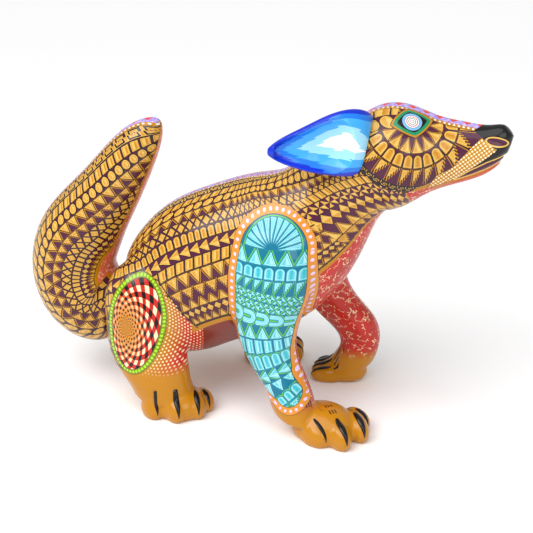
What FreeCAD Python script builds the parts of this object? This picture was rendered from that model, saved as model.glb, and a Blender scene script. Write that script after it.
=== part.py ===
import FreeCAD, Part
import Sketcher
import math
import os

# Carved and painted wooden coyote, standing on four paws.
# Frame: +X towards the nose, +Z up, the animal's right side at -Y, soles on Z = 0.
# Millimetres and degrees throughout.

doc = FreeCAD.newDocument("alebrije_coyote")
sheet = doc.addObject("Spreadsheet::Sheet", "sizes")

# ---------------------------------------------------------------------------
# Driving dimensions
# ---------------------------------------------------------------------------

SIZES = {
    # the whole carving; the stations further down are drawn at these two sizes
    "figure_length": 348.0,
    "figure_height": 232.0,
    "drawn_length": 348.0,
    "drawn_height": 232.0,
    "ground_depth": 60.0,
    # legs: glued against flats cut on both sides of the torso block
    "core_half_width": 24.0,
    "dowel_diameter": 8.0,
    "dowel_length": 26.0,
    "dowel_chamfer": 0.8,
    "dowel_spacing": 22.0,
    "dowel_end_gap": 0.5,
    "glue_gap": 0.05,
    # tail: lifts off on a flat tenon
    "tail_pull_angle": 10.0,
    "seat_x": -116.0,
    "seat_z": 62.0,
    "seat_rise": 26.5,
    "seat_round": 0.85,
    "tail_seat_gap": 0.2,
    "tail_peg_width": 15.0,
    "tail_peg_thick": 9.0,
    "tail_peg_in_body": 22.0,
    "tail_peg_in_tail": 16.0,
    # ears: lift off on smaller flat tenons
    "ear_right_seat_x": 68.0,
    "ear_right_seat_y": -25.0,
    "ear_right_seat_z": 208.0,
    "ear_right_pull_yaw": 44.0,
    "ear_right_pull_rise": 30.0,
    "ear_left_seat_x": 67.0,
    "ear_left_seat_y": 25.0,
    "ear_left_seat_z": 192.0,
    "ear_left_pull_yaw": 60.0,
    "ear_left_pull_rise": 30.0,
    "ear_left_droop": 52.0,
    "ear_left_lower": 16.0,
    "ear_seat_gap": 0.35,
    "ear_peg_width": 8.0,
    "ear_peg_thick": 4.4,
    "ear_peg_in_head": 16.0,
    "ear_peg_in_ear": 6.6,
    # every tenon
    "slide_clearance": 0.1,
    "socket_end_gap": 0.6,
    "slot_overrun": 6.0,
    "tenon_chamfer": 0.8,
}

# Torso, neck and head: name, x, z, tilt of the axis, half height, width to height
TORSO = [
    ("rump", -97.0, 68.0, 12.0, 35.0, 0.88),
    ("hips", -80.0, 73.0, 28.0, 45.0, 0.84),
    ("loin", -49.5, 95.0, 27.0, 55.5, 0.80),
    ("middle", -21.0, 109.0, 23.0, 57.0, 0.79),
    ("ribs", 9.5, 123.0, 25.0, 54.5, 0.80),
    ("withers", 28.0, 137.0, 35.0, 47.0, 0.86),
    ("chest", 42.0, 153.4, 46.0, 38.5, 0.88),
    ("neck", 56.7, 173.0, 47.0, 32.0, 0.91),
    ("nape", 71.5, 186.5, 33.0, 34.0, 0.84),
    ("skull", 85.0, 194.0, 18.0, 35.0, 0.88),
    ("brow", 100.0, 198.0, 7.0, 32.4, 0.86),
    ("bridge", 116.5, 199.5, 3.0, 25.0, 0.80),
    ("muzzle", 134.7, 202.0, 8.0, 20.0, 0.72),
    ("lip", 147.5, 205.5, 19.0, 16.0, 0.72),
    ("nostril", 156.0, 211.5, 32.0, 11.0, 0.78),
    ("nose", 162.3, 218.3, 44.0, 4.6, 0.90),
]

# Tail: the same columns, from behind the seat to the tip
TAIL = [
    ("root", -128.0, 60.5, 158.0, 30.5, 0.83),
    ("bend", -141.0, 69.0, 128.0, 32.6, 0.87),
    ("belly", -148.5, 90.0, 97.0, 32.0, 0.88),
    ("rise", -142.5, 115.0, 70.0, 30.8, 0.89),
    ("waist", -129.5, 136.0, 57.0, 27.0, 0.92),
    ("upper", -116.0, 155.0, 57.0, 23.0, 0.94),
    ("slim", -104.0, 173.0, 57.0, 19.6, 0.95),
    ("point", -93.0, 189.0, 54.0, 15.6, 0.95),
    ("crook", -84.0, 200.0, 50.0, 10.2, 0.95),
    ("tip", -77.8, 206.8, 46.0, 3.0, 0.95),
]

# Legs, cut level: name, x, y, z, half length, width to length
LEGS = {
    "foreleg_right": [
        ("top", 10.0, -26.0, 153.0, 19.0, 0.62),
        ("shoulder", 12.5, -31.0, 137.0, 28.0, 0.63),
        ("upper", 12.8, -34.0, 116.0, 30.5, 0.64),
        ("arm", 12.2, -37.0, 97.0, 26.5, 0.70),
        ("elbow", 11.5, -41.0, 70.0, 20.5, 0.76),
        ("forearm", 20.0, -43.0, 48.0, 17.5, 0.84),
        ("wrist", 30.0, -45.0, 28.0, 16.0, 0.90),
        ("heel", 40.0, -45.0, 12.0, 16.0, 0.95),
    ],
    "foreleg_left": [
        ("top", 30.0, 25.0, 124.0, 14.0, 0.70),
        ("shoulder", 32.0, 28.0, 108.0, 18.0, 0.76),
        ("upper", 34.0, 31.0, 90.0, 18.5, 0.80),
        ("arm", 40.0, 34.0, 74.0, 19.5, 0.78),
        ("elbow", 51.0, 39.0, 57.0, 20.5, 0.74),
        ("forearm", 61.0, 42.0, 40.0, 16.0, 0.84),
        ("wrist", 60.0, 44.0, 25.0, 15.0, 0.86),
        ("heel", 54.0, 44.0, 12.0, 14.0, 0.88),
    ],
    "hindleg_right": [
        ("top", -84.0, -25.0, 111.0, 11.0, 0.66),
        ("hip", -86.0, -29.0, 100.0, 20.0, 0.74),
        ("thigh", -85.0, -32.0, 80.0, 26.0, 0.66),
        ("knee", -81.0, -34.0, 61.0, 29.0, 0.58),
        ("shank", -78.5, -36.0, 46.0, 29.0, 0.60),
        ("hock", -73.5, -38.0, 31.0, 26.0, 0.66),
        ("heel", -66.0, -38.0, 13.0, 23.0, 0.76),
    ],
    "hindleg_left": [
        ("top", -76.0, 26.0, 109.0, 11.0, 0.66),
        ("hip", -74.0, 30.0, 98.0, 20.0, 0.74),
        ("thigh", -66.0, 33.5, 80.0, 24.0, 0.70),
        ("knee", -52.0, 38.0, 61.0, 22.0, 0.74),
        ("shank", -38.0, 43.0, 45.0, 18.0, 0.80),
        ("hock", -27.0, 49.0, 30.0, 15.0, 0.88),
        ("heel", -20.0, 53.0, 14.0, 14.5, 0.92),
    ],
}

# Palms and toes: name, x, y, z, heading, half length, half width, half height
PAWS = {
    "foreleg_right": [
        ("palm", 53.0, -42.0, 7.0, -18.0, 24.0, 20.0, 16.0),
        ("toe_outer", 48.5, -55.0, 6.0, -36.0, 13.5, 7.8, 10.0),
        ("toe_second", 64.5, -52.5, 6.5, -50.0, 15.5, 8.2, 11.0),
        ("toe_third", 74.5, -38.5, 6.5, -52.0, 15.5, 8.2, 11.0),
        ("toe_inner", 73.5, -27.0, 5.5, -38.0, 12.5, 7.4, 9.0),
    ],
    "foreleg_left": [
        ("palm", 50.0, 44.0, 7.5, 180.0, 18.0, 13.0, 9.5),
        ("toe_inner", 39.0, 34.5, 5.0, 188.0, 13.0, 5.4, 6.5),
        ("toe_second", 39.5, 40.5, 5.5, 182.0, 14.5, 5.6, 7.0),
        ("toe_third", 39.5, 46.5, 5.5, 178.0, 14.5, 5.6, 7.0),
        ("toe_outer", 39.0, 52.5, 5.0, 172.0, 13.0, 5.4, 6.5),
    ],
    "hindleg_right": [
        ("palm", -58.0, -37.0, 7.0, -30.0, 22.0, 18.0, 15.0),
        ("toe_outer", -73.0, -48.5, 6.0, -48.0, 11.5, 7.2, 9.5),
        ("toe_second", -56.5, -46.5, 6.5, -57.0, 14.0, 8.0, 11.0),
        ("toe_third", -44.0, -37.5, 6.5, -59.0, 14.0, 8.0, 11.0),
        ("toe_inner", -40.5, -27.5, 5.5, -50.0, 12.0, 7.0, 8.8),
    ],
    "hindleg_left": [
        ("palm", -13.0, 57.0, 7.0, 20.0, 20.0, 16.0, 14.0),
        ("toe_inner", -5.0, 49.0, 6.0, 8.0, 13.0, 7.2, 9.5),
        ("toe_second", 1.0, 58.0, 6.5, 18.0, 13.5, 7.6, 11.0),
        ("toe_third", -1.0, 68.0, 6.5, 28.0, 13.5, 7.6, 11.0),
        ("toe_outer", -12.0, 74.0, 6.0, 44.0, 12.0, 7.0, 9.5),
    ],
}

# Ear, right side: name, x, y, z, half height, half depth,
# then its painted cup: outward shift, half height, half depth
EAR = [
    ("inside", 76.0, -6.0, 203.0, 13.0, 8.0, 22.0, 14.0, 12.0),
    ("base", 64.0, -28.0, 210.0, 22.5, 9.5, 16.0, 21.0, 12.0),
    ("full", 51.5, -34.0, 209.5, 20.4, 9.0, 9.0, 18.9, 13.5),
    ("blade", 39.0, -37.5, 207.5, 16.2, 7.8, 7.5, 14.8, 11.5),
    ("taper", 26.0, -39.8, 205.8, 10.8, 6.0, 5.5, 9.4, 8.0),
    ("end", 17.0, -41.2, 204.8, 6.0, 4.0, 3.6, 4.6, 4.2),
    ("tip", 12.3, -41.8, 204.2, 2.2, 1.6, 0.0, 0.0, 0.0),
]

# Dowels that pin each leg to the torso: x, z and the slope of the pair
DOWELS = {
    "foreleg_right": (12.0, 120.0, 60.0),
    "foreleg_left": (44.0, 116.0, 118.0),
    "hindleg_right": (-84.0, 80.0, 80.0),
    "hindleg_left": (-70.0, 82.0, 110.0),
}


class Sheet:
    """Writes plain numbers into the spreadsheet, one alias a row."""

    def __init__(self, target):
        self.target = target
        self.row = 0

    def put(self, alias, value):
        self.row += 1
        self.target.set(f"A{self.row}", alias)
        self.target.set(f"B{self.row}", str(value))
        self.target.setAlias(f"B{self.row}", alias)

    def put_stations(self, piece, stations, fields):
        for station in stations:
            for field, value in zip(fields, station[1:]):
                self.put(f"{piece}_{station[0]}_{field}", value)


def value(alias):
    return float(sheet.get(alias))


def along(text):
    return f"({text}) * sizes.figure_length / sizes.drawn_length"


def across(text):
    return f"({text}) * sizes.figure_height / sizes.drawn_height"


def add(kind, name):
    return doc.addObject(kind, name)


def bind(item, **expressions):
    for prop, expression in expressions.items():
        item.setExpression(prop.replace("__", "."), expression)


# ---------------------------------------------------------------------------
# Carved forms: ovals along an axis, lofted
# ---------------------------------------------------------------------------

def half_turn(tilt):
    """Half a turn that lays an oval across an axis tilted in the X-Z plane, long side up."""
    axis = f"vector(cos(45deg + ({tilt}) * 0.5deg); 0; sin(45deg + ({tilt}) * 0.5deg))"
    return f"rotation({axis}; 180)"


def upright_oval(piece, name):
    """An oval across an axis that lies in the X-Z plane."""
    key = f"sizes.{piece}_{name}"
    centre = f"vector({along(key + '_x')}; 0; {across(key + '_z')})"
    oval = add("Part::Ellipse", f"{piece}_{name}")
    bind(
        oval,
        MajorRadius=across(f"{key}_rise"),
        MinorRadius=across(f"{key}_rise * {key}_round"),
        Placement=f"placement({centre}; {half_turn(key + '_tilt')})",
    )
    return oval


def seat_oval(name, gap, tilt):
    """The oval where tail and torso meet, moved back along the pull by a gap."""
    seat_x = f"{along('sizes.seat_x')} - cos(sizes.tail_pull_angle * 1deg) * {gap}"
    seat_z = f"{across('sizes.seat_z')} + sin(sizes.tail_pull_angle * 1deg) * {gap}"
    oval = add("Part::Ellipse", name)
    bind(
        oval,
        MajorRadius=across("sizes.seat_rise"),
        MinorRadius=across("sizes.seat_rise * sizes.seat_round"),
        Placement=f"placement(vector({seat_x}; 0; {seat_z}); {half_turn(tilt)})",
    )
    return oval


def level_oval(piece, name):
    """An oval lying level, longer along X than across."""
    key = f"sizes.{piece}_{name}"
    oval = add("Part::Ellipse", f"{piece}_{name}")
    bind(
        oval,
        MajorRadius=across(f"{key}_reach"),
        MinorRadius=across(f"{key}_reach * {key}_round"),
        Placement__Base__x=along(key + "_x"),
        Placement__Base__y=across(key + "_y"),
        Placement__Base__z=across(key + "_z"),
    )
    return oval


def ear_oval(name):
    """An oval across the ear, long side up."""
    key = f"sizes.ear_{name}"
    centre = f"vector({along(key + '_x')}; {across(key + '_y')}; {across(key + '_z')})"
    oval = add("Part::Ellipse", f"ear_{name}")
    bind(
        oval,
        MajorRadius=across(key + "_rise"),
        MinorRadius=across(key + "_depth"),
        Placement=f"placement({centre}; {half_turn('0')})",
    )
    return oval


def cup_oval(name):
    """An oval of the hollow, moved out of the ear's open side."""
    key = f"sizes.ear_{name}"
    centre_y = across(f"({key}_y - {key}_shift)")
    centre = f"vector({along(key + '_x')}; {centre_y}; {across(key + '_z')})"
    oval = add("Part::Ellipse", f"cup_{name}")
    bind(
        oval,
        MajorRadius=across(key + "_cuprise"),
        MinorRadius=across(key + "_cupdepth"),
        Placement=f"placement({centre}; {half_turn('0')})",
    )
    return oval


def loft(name, ovals):
    form = add("Part::Loft", name)
    form.Sections = ovals
    form.Solid = True
    form.Ruled = False
    return form


def bead(piece, name):
    """An ellipsoid near the ground: a palm or one toe."""
    key = f"sizes.{piece}_{name}"
    ball = add("Part::Ellipsoid", f"{piece}_{name}")
    ball.Angle1 = -90.0
    ball.Angle2 = 90.0
    centre = f"vector({along(key + '_x')}; {across(key + '_y')}; {across(key + '_z')})"
    bind(
        ball,
        Radius1=across(key + "_tall"),
        Radius2=across(key + "_long"),
        Radius3=across(key + "_wide"),
        Placement=f"placement({centre}; rotation(vector(0; 0; 1); {key}_heading))",
    )
    return ball


def fuse(name, shapes):
    whole = add("Part::MultiFuse", name)
    whole.Shapes = shapes
    return whole


def cut(name, base, tool):
    result = add("Part::Cut", name)
    result.Base = base
    result.Tool = tool
    return result


def common(name, base, tool):
    result = add("Part::Common", name)
    result.Base = base
    result.Tool = tool
    return result


def big_block(name, length, width, height, low_z):
    """A box centred on the Z axis whose bottom is at low_z; every argument is an expression."""
    box = add("Part::Box", name)
    bind(
        box,
        Length=length,
        Width=width,
        Height=height,
        Placement__Base__x=f"-0.5 * ({length})",
        Placement__Base__y=f"-0.5 * ({width})",
        Placement__Base__z=low_z,
    )
    return box


# ---------------------------------------------------------------------------
# Tenons and dowels
# ---------------------------------------------------------------------------

def origin_plane(body, role):
    return next(item for item in body.Origin.OriginFeatures if item.Role == role)


def start_sketch(body, name):
    sketch = body.newObject("Sketcher::SketchObject", name)
    sketch.AttachmentSupport = [(origin_plane(body, "XY_Plane"), "")]
    sketch.MapMode = "FlatFace"
    return sketch


def draw_slot(sketch, width, thick):
    """Two straight sides and two half rounds, centred; width and thick are expressions."""
    half = 4.0
    radius = 2.0
    vector = FreeCAD.Vector
    up = vector(0, 0, 1)
    right_circle = Part.Circle(vector(half, 0, 0), up, radius)
    left_circle = Part.Circle(vector(-half, 0, 0), up, radius)
    right = sketch.addGeometry(Part.ArcOfCircle(right_circle, -0.5 * math.pi, 0.5 * math.pi))
    left = sketch.addGeometry(Part.ArcOfCircle(left_circle, 0.5 * math.pi, 1.5 * math.pi))
    top = sketch.addGeometry(Part.LineSegment(vector(half, radius, 0), vector(-half, radius, 0)))
    low = sketch.addGeometry(Part.LineSegment(vector(-half, -radius, 0), vector(half, -radius, 0)))
    start, end, centre = 1, 2, 3
    sketch.addConstraint([
        Sketcher.Constraint("Tangent", right, end, top, start),
        Sketcher.Constraint("Tangent", top, end, left, start),
        Sketcher.Constraint("Tangent", left, end, low, start),
        Sketcher.Constraint("Tangent", low, end, right, start),
        Sketcher.Constraint("Horizontal", top),
        Sketcher.Constraint("Equal", right, left),
        Sketcher.Constraint("Symmetric", right, centre, left, centre, -1, 1),
    ])
    span = sketch.addConstraint(
        Sketcher.Constraint("DistanceX", left, centre, right, centre, 2 * half))
    round_end = sketch.addConstraint(Sketcher.Constraint("Radius", right, radius))
    sketch.setExpression(f"Constraints[{span}]", f"{width} - ({thick})")
    sketch.setExpression(f"Constraints[{round_end}]", f"0.5 * ({thick})")


def draw_circle(sketch, diameter):
    vector = FreeCAD.Vector
    ring = sketch.addGeometry(Part.Circle(vector(0, 0, 0), vector(0, 0, 1), 4.0))
    sketch.addConstraint(Sketcher.Constraint("Coincident", ring, 3, -1, 1))
    size = sketch.addConstraint(Sketcher.Constraint("Diameter", ring, 8.0))
    sketch.setExpression(f"Constraints[{size}]", diameter)


def is_level(edge):
    return edge.BoundBox.ZLength < 1e-6


def pad_body(name, draw, sizes_of_outline, length, chamfer=None):
    """A prism along its own Z from 0 to length, its end rims chamfered if asked."""
    body = add("PartDesign::Body", name)
    sketch = start_sketch(body, name + "_outline")
    draw(sketch, *sizes_of_outline)
    shaft = body.newObject("PartDesign::Pad", name + "_shaft")
    shaft.Profile = sketch
    bind(shaft, Length=length)
    doc.recompute()
    if chamfer:
        edges = enumerate(shaft.Shape.Edges)
        rims = [f"Edge{number + 1}" for number, edge in edges if is_level(edge)]
        ends = body.newObject("PartDesign::Chamfer", name + "_ends")
        ends.Base = (shaft, rims)
        bind(ends, Size=chamfer)
    return body


def peg_outline(peg, gap="0"):
    width = f"sizes.{peg}_width + 2 * {gap}"
    thick = f"sizes.{peg}_thick + 2 * {gap}"
    return width, thick


def place_on_tail_axis(item, offset):
    """Put a peg's own Z along the tail's pull, starting at an offset from the seat."""
    pull = "sizes.tail_pull_angle * 1deg"
    place_x = f"{along('sizes.seat_x')} - cos({pull}) * ({offset})"
    place_z = f"{across('sizes.seat_z')} + sin({pull}) * ({offset})"
    turn = half_turn("180 - sizes.tail_pull_angle")
    bind(item, Placement=f"placement(vector({place_x}; 0; {place_z}); {turn})")


def ear_pull(ear, side):
    """Direction in which an ear comes off, as three expressions; side is -1 on the right."""
    yaw = f"sizes.{ear}_pull_yaw * 1deg"
    rise = f"sizes.{ear}_pull_rise * 1deg"
    return f"-cos({rise}) * cos({yaw})", f"{side} * cos({rise}) * sin({yaw})", f"sin({rise})"


def place_on_ear_axis(item, offset, ear, side):
    """Put a peg's own Z along an ear's pull, starting at an offset from its seat."""
    pull_x, pull_y, pull_z = ear_pull(ear, side)
    place_x = f"{along(f'sizes.{ear}_seat_x')} + {pull_x} * ({offset})"
    place_y = f"{across(f'sizes.{ear}_seat_y')} + {pull_y} * ({offset})"
    place_z = f"{across(f'sizes.{ear}_seat_z')} + {pull_z} * ({offset})"
    turn = f"rotation(180 - {side} * sizes.{ear}_pull_yaw; 90 - sizes.{ear}_pull_rise; 0)"
    bind(item, Placement=f"placement(vector({place_x}; {place_y}; {place_z}); {turn})")


def place_on_right_ear(item, offset):
    place_on_ear_axis(item, offset, "ear_right", -1)


def place_on_left_ear(item, offset):
    place_on_ear_axis(item, offset, "ear_left", 1)


def peg_and_holes(name, peg, inner, outer, place):
    """A tenon, its sliding socket and its glued hole, all from the same sizes."""
    inner = f"sizes.{inner}"
    outer = f"sizes.{outer}"
    deep = "sizes.socket_end_gap"
    poke = "sizes.slot_overrun"
    tenon = pad_body(name, draw_slot, peg_outline(peg), f"{inner} + {outer}",
                     "sizes.tenon_chamfer")
    place(tenon, f"-{inner}")
    socket = pad_body(name + "_socket", draw_slot, peg_outline(peg, "sizes.slide_clearance"),
                      f"{inner} + {deep} + {poke}")
    place(socket, f"-{inner} - {deep}")
    hole = pad_body(name + "_hole", draw_slot, peg_outline(peg, "sizes.glue_gap"),
                    f"{outer} + {deep} + {poke}")
    place(hole, f"-{poke}")
    return tenon, socket, hole


def dowel_place(leg, side, end, start_y):
    """Placement of one dowel across the joint: end is -1 or 1, side is -1 on the right."""
    key = f"sizes.{leg}_pin"
    reach = f"{end} * 0.5 * sizes.dowel_spacing"
    place_x = f"{along(key + '_x')} + cos({key}_slope * 1deg) * {reach}"
    place_z = f"{across(key + '_z')} + sin({key}_slope * 1deg) * {reach}"
    place_y = f"{side} * sizes.core_half_width + {start_y}"
    return f"placement(vector({place_x}; {place_y}; {place_z}); rotation(vector(1; 0; 0); 90))"


def dowels(leg, side):
    """Two glued dowels of one leg, and the two holes that they fill."""
    pins = []
    holes = []
    for end, word in ((-1, "lower"), (1, "upper")):
        pin = pad_body(f"{leg}_dowel_{word}", draw_circle, ("sizes.dowel_diameter",),
                       "sizes.dowel_length", "sizes.dowel_chamfer")
        bind(pin, Placement=dowel_place(leg, side, end, "0.5 * sizes.dowel_length"))
        drill = add("Part::Cylinder", f"{leg}_drill_{word}")
        bind(
            drill,
            Radius="0.5 * sizes.dowel_diameter + sizes.glue_gap",
            Height="sizes.dowel_length + 2 * sizes.dowel_end_gap",
            Placement=dowel_place(leg, side, end,
                                  "0.5 * sizes.dowel_length + sizes.dowel_end_gap"),
        )
        pins.append(pin)
        holes.append(drill)
    pair = add("Part::Compound", f"{leg}_dowel_pair")
    pair.Links = pins
    return pair, holes


# ---------------------------------------------------------------------------
# The carving's pieces
# ---------------------------------------------------------------------------

def torso_blank():
    """Trunk and head: two lofts that share the oval at the nape."""
    seat = seat_oval("torso_seat", "0", "-sizes.tail_pull_angle")
    ovals = [seat] + [upright_oval("torso", row[0]) for row in TORSO]
    nape = 1 + [row[0] for row in TORSO].index("nape")
    trunk = loft("trunk", ovals[:nape + 1])
    head = loft("head", ovals[nape:])
    return fuse("torso_blank", [trunk, head])


def leg_blank(leg):
    """One leg with its paw, still whole, its sole cut flat."""
    limb = loft(f"{leg}_limb", [level_oval(leg, row[0]) for row in LEGS[leg]])
    paw = [bead(leg, row[0]) for row in PAWS[leg]]
    whole = fuse(f"{leg}_whole", [limb] + paw)
    return cut(f"{leg}_blank", whole, ground)


def tail_blank():
    seat = seat_oval("tail_seat", "sizes.tail_seat_gap", "180 - sizes.tail_pull_angle")
    return loft("tail_blank", [seat] + [upright_oval("tail", row[0]) for row in TAIL])


def ear_cup():
    """The right ear before fitting: a leaf hollowed as a cup."""
    leaf = loft("ear_leaf", [ear_oval(row[0]) for row in EAR])
    hollow = loft("ear_hollow", [cup_oval(row[0]) for row in EAR if row[-1] > 0])
    return cut("ear_cup", leaf, hollow)


def left_ear_cup(cup):
    """The same leaf on the left side, set lower and drooping about its own root."""
    twin = add("Part::Mirroring", "ear_cup_left")
    twin.Source = cup
    twin.Normal = FreeCAD.Vector(0, 1, 0)
    root_x = along("sizes.ear_base_x")
    root_z = across("sizes.ear_base_z")
    root = f"placement(vector({root_x}; 0; {root_z} - sizes.ear_left_lower); {{turn}})"
    droop = root.format(turn="rotation(vector(0; 1; 0); -sizes.ear_left_droop)")
    back = f"placement(vector(-{root_x}; 0; -{root_z}); rotation(vector(0; 1; 0); 0))"
    bind(twin, Placement=f"{droop} * {back}")
    return twin


def fitted_ear(name, cup, head, hole):
    """An ear with its root shaped to the side of the head and its tenon's hole cut."""
    rooted = cut(f"{name}_rooted", cup, head)
    return cut(f"{name}_fitted", rooted, hole)


def twin_of(name, source):
    """A plain copy that can be placed by itself."""
    copy = add("Part::Compound", name)
    copy.Links = [source]
    return copy


# ---------------------------------------------------------------------------
# Build
# ---------------------------------------------------------------------------

writer = Sheet(sheet)
for alias, number in SIZES.items():
    writer.put(alias, number)
writer.put_stations("torso", TORSO, ("x", "z", "tilt", "rise", "round"))
writer.put_stations("tail", TAIL, ("x", "z", "tilt", "rise", "round"))
writer.put_stations("ear", EAR, ("x", "y", "z", "rise", "depth", "shift", "cuprise", "cupdepth"))
for leg in LEGS:
    writer.put_stations(leg, LEGS[leg], ("x", "y", "z", "reach", "round"))
    writer.put_stations(leg, PAWS[leg], ("x", "y", "z", "heading", "long", "wide", "tall"))
    writer.put_stations(leg, [("pin",) + DOWELS[leg]], ("x", "z", "slope"))
doc.recompute()

ground = big_block("ground", "3 * sizes.figure_length", "3 * sizes.figure_length",
                   "sizes.ground_depth", "-sizes.ground_depth")
core_slab = big_block("core_slab", "3 * sizes.figure_length", "2 * sizes.core_half_width",
                      "2 * sizes.figure_height", "-0.5 * sizes.figure_height")
torso = torso_blank()
core = common("core", torso, core_slab)

tail_peg, tail_socket, tail_hole = peg_and_holes(
    "tail_peg_piece", "tail_peg", "tail_peg_in_body", "tail_peg_in_tail", place_on_tail_axis)
right_peg, right_socket, right_hole = peg_and_holes(
    "ear_right_peg", "ear_peg", "ear_peg_in_head", "ear_peg_in_ear", place_on_right_ear)
left_peg, left_socket, left_hole = peg_and_holes(
    "ear_left_peg", "ear_peg", "ear_peg_in_head", "ear_peg_in_ear", place_on_left_ear)

legs = {}
pins = {}
all_drills = []
outer_legs = []
for leg in LEGS:
    side = -1 if leg.endswith("right") else 1
    pins[leg], drills = dowels(leg, side)
    all_drills += drills
    shaped = cut(f"{leg}_shaped", leg_blank(leg), core)
    outer_legs.append(shaped)
    legs[leg] = cut(f"{leg}_drilled", shaped, fuse(f"{leg}_drills", drills))

torso_open = cut("torso_open", torso, fuse("leg_places", outer_legs))
sockets = fuse("sockets", all_drills + [tail_socket, right_socket, left_socket])
body = cut("torso_neck_head", torso_open, sockets)
tail = cut("tail_drilled", tail_blank(), tail_hole)
cup = ear_cup()
ear_right = fitted_ear("ear_right", cup, torso, right_hole)
ear_left = fitted_ear("ear_left", left_ear_cup(cup), torso, left_hole)
doc.recompute()

# ---------------------------------------------------------------------------
# Finished pieces, in their own frame: the box of the whole carving is centred
# on the origin and stands on Z = 0
# ---------------------------------------------------------------------------

def whole_box(pieces):
    together = Part.makeCompound([piece.Shape for piece in pieces])
    return together.optimalBoundingBox(True, False)


def ear_seat_shift(ear, side):
    """How far an ear stands off the head along its pull, as three expressions."""
    return tuple(f"{pull} * sizes.ear_seat_gap" for pull in ear_pull(ear, side))


def finish_piece(label, source, shift=("0", "0", "0")):
    piece = twin_of(f"node_{label}", source)
    piece.Label = label
    bind(
        piece,
        Placement__Base__x=f"{shift[0]} - sizes.centre_x",
        Placement__Base__y=f"{shift[1]} - sizes.centre_y",
        Placement__Base__z=f"{shift[2]} - sizes.centre_z",
    )
    return piece


def faults(item):
    return [state for state in item.State if state in ("Invalid", "Error")]


outer = whole_box([body, tail, ear_right, ear_left] + list(legs.values()))
writer.put("centre_x", round(0.5 * (outer.XMin + outer.XMax), 3))
writer.put("centre_y", round(0.5 * (outer.YMin + outer.YMax), 3))
writer.put("centre_z", round(outer.ZMin, 3))

nodes = [
    finish_piece("torso_and_head", body),
    finish_piece("tail", tail),
    finish_piece("tail_tenon", tail_peg),
    finish_piece("ear_right", ear_right, ear_seat_shift("ear_right", -1)),
    finish_piece("ear_left", ear_left, ear_seat_shift("ear_left", 1)),
    finish_piece("ear_right_tenon", right_peg),
    finish_piece("ear_left_tenon", left_peg),
]
for leg in LEGS:
    nodes.append(finish_piece(leg, legs[leg]))
    nodes.append(finish_piece(f"{leg}_dowels", pins[leg]))
doc.recompute()

for item in doc.Objects:
    if faults(item):
        raise RuntimeError(f"{item.Name} failed: {item.State}")
for node in nodes:
    if node.Shape.isNull() or not node.Shape.isValid():
        raise RuntimeError(f"{node.Label} has no valid shape")

os.makedirs("parts", exist_ok=True)
for node in nodes:
    node.Shape.exportStep(f"parts/{node.Label}.step")
    print(node.Label, "solids", len(node.Shape.Solids), "volume", round(node.Shape.Volume))
print("centre", value("centre_x"), value("centre_y"), value("centre_z"))
print("box", outer.XLength, outer.YLength, outer.ZLength)
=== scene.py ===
"""Looks of a carved copal-wood coyote: acrylic brush work under a gloss varnish.

The five glued wooden pieces (trunk with head, four legs) are one continuous painted
skin here, because the painter covers the glue lines. Tail and ears lift off, so each
is a piece of its own. Lengths inside this script are millimetres in the carver's
drawing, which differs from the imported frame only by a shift.
"""
import logging
import math
from dataclasses import dataclass
from enum import Enum
from typing import Callable, Iterable, Optional, Sequence, Union

import bmesh
import bpy
import numpy as np
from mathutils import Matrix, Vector
from mathutils.bvhtree import BVHTree


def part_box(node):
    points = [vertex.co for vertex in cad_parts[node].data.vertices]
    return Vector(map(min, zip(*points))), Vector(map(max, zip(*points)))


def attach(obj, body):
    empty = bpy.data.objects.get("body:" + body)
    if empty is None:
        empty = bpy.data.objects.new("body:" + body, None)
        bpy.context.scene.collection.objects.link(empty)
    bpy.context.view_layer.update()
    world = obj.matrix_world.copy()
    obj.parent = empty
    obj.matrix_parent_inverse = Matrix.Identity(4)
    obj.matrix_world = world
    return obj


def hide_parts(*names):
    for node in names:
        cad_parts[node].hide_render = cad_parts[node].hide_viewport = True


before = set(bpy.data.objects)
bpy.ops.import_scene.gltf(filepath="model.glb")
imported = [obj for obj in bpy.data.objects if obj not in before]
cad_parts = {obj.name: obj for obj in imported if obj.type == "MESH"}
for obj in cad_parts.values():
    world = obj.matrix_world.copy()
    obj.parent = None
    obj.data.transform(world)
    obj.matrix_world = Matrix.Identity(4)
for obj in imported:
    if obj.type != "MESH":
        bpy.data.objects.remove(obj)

logging.basicConfig(level=logging.INFO, format="%(message)s")
LOG = logging.getLogger("coyote")
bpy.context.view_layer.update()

MM = 0.001
DRAWN_TORSO_LOW_X = -120.6      # lowest x of the trunk in the drawing, mm
DRAWN_TORSO_MID_Y = 0.0         # the trunk is drawn on the X-Z plane
RIGHT, LEFT = -1.0, 1.0


# ---------------------------------------------------------------------------
# Colour and shader signals
# ---------------------------------------------------------------------------

def paint(hex_code: str) -> tuple[float, float, float, float]:
    """Turn an sRGB hex code into linear light.

    Args:
        hex_code: Six hex digits.
    Returns:
        Linear red, green, blue and alpha 1.
    """
    parts = [int(hex_code[i:i + 2], 16) / 255 for i in (0, 2, 4)]
    linear = [p / 12.92 if p <= 0.04045 else ((p + 0.055) / 1.055) ** 2.4 for p in parts]
    return (linear[0], linear[1], linear[2], 1.0)


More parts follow.
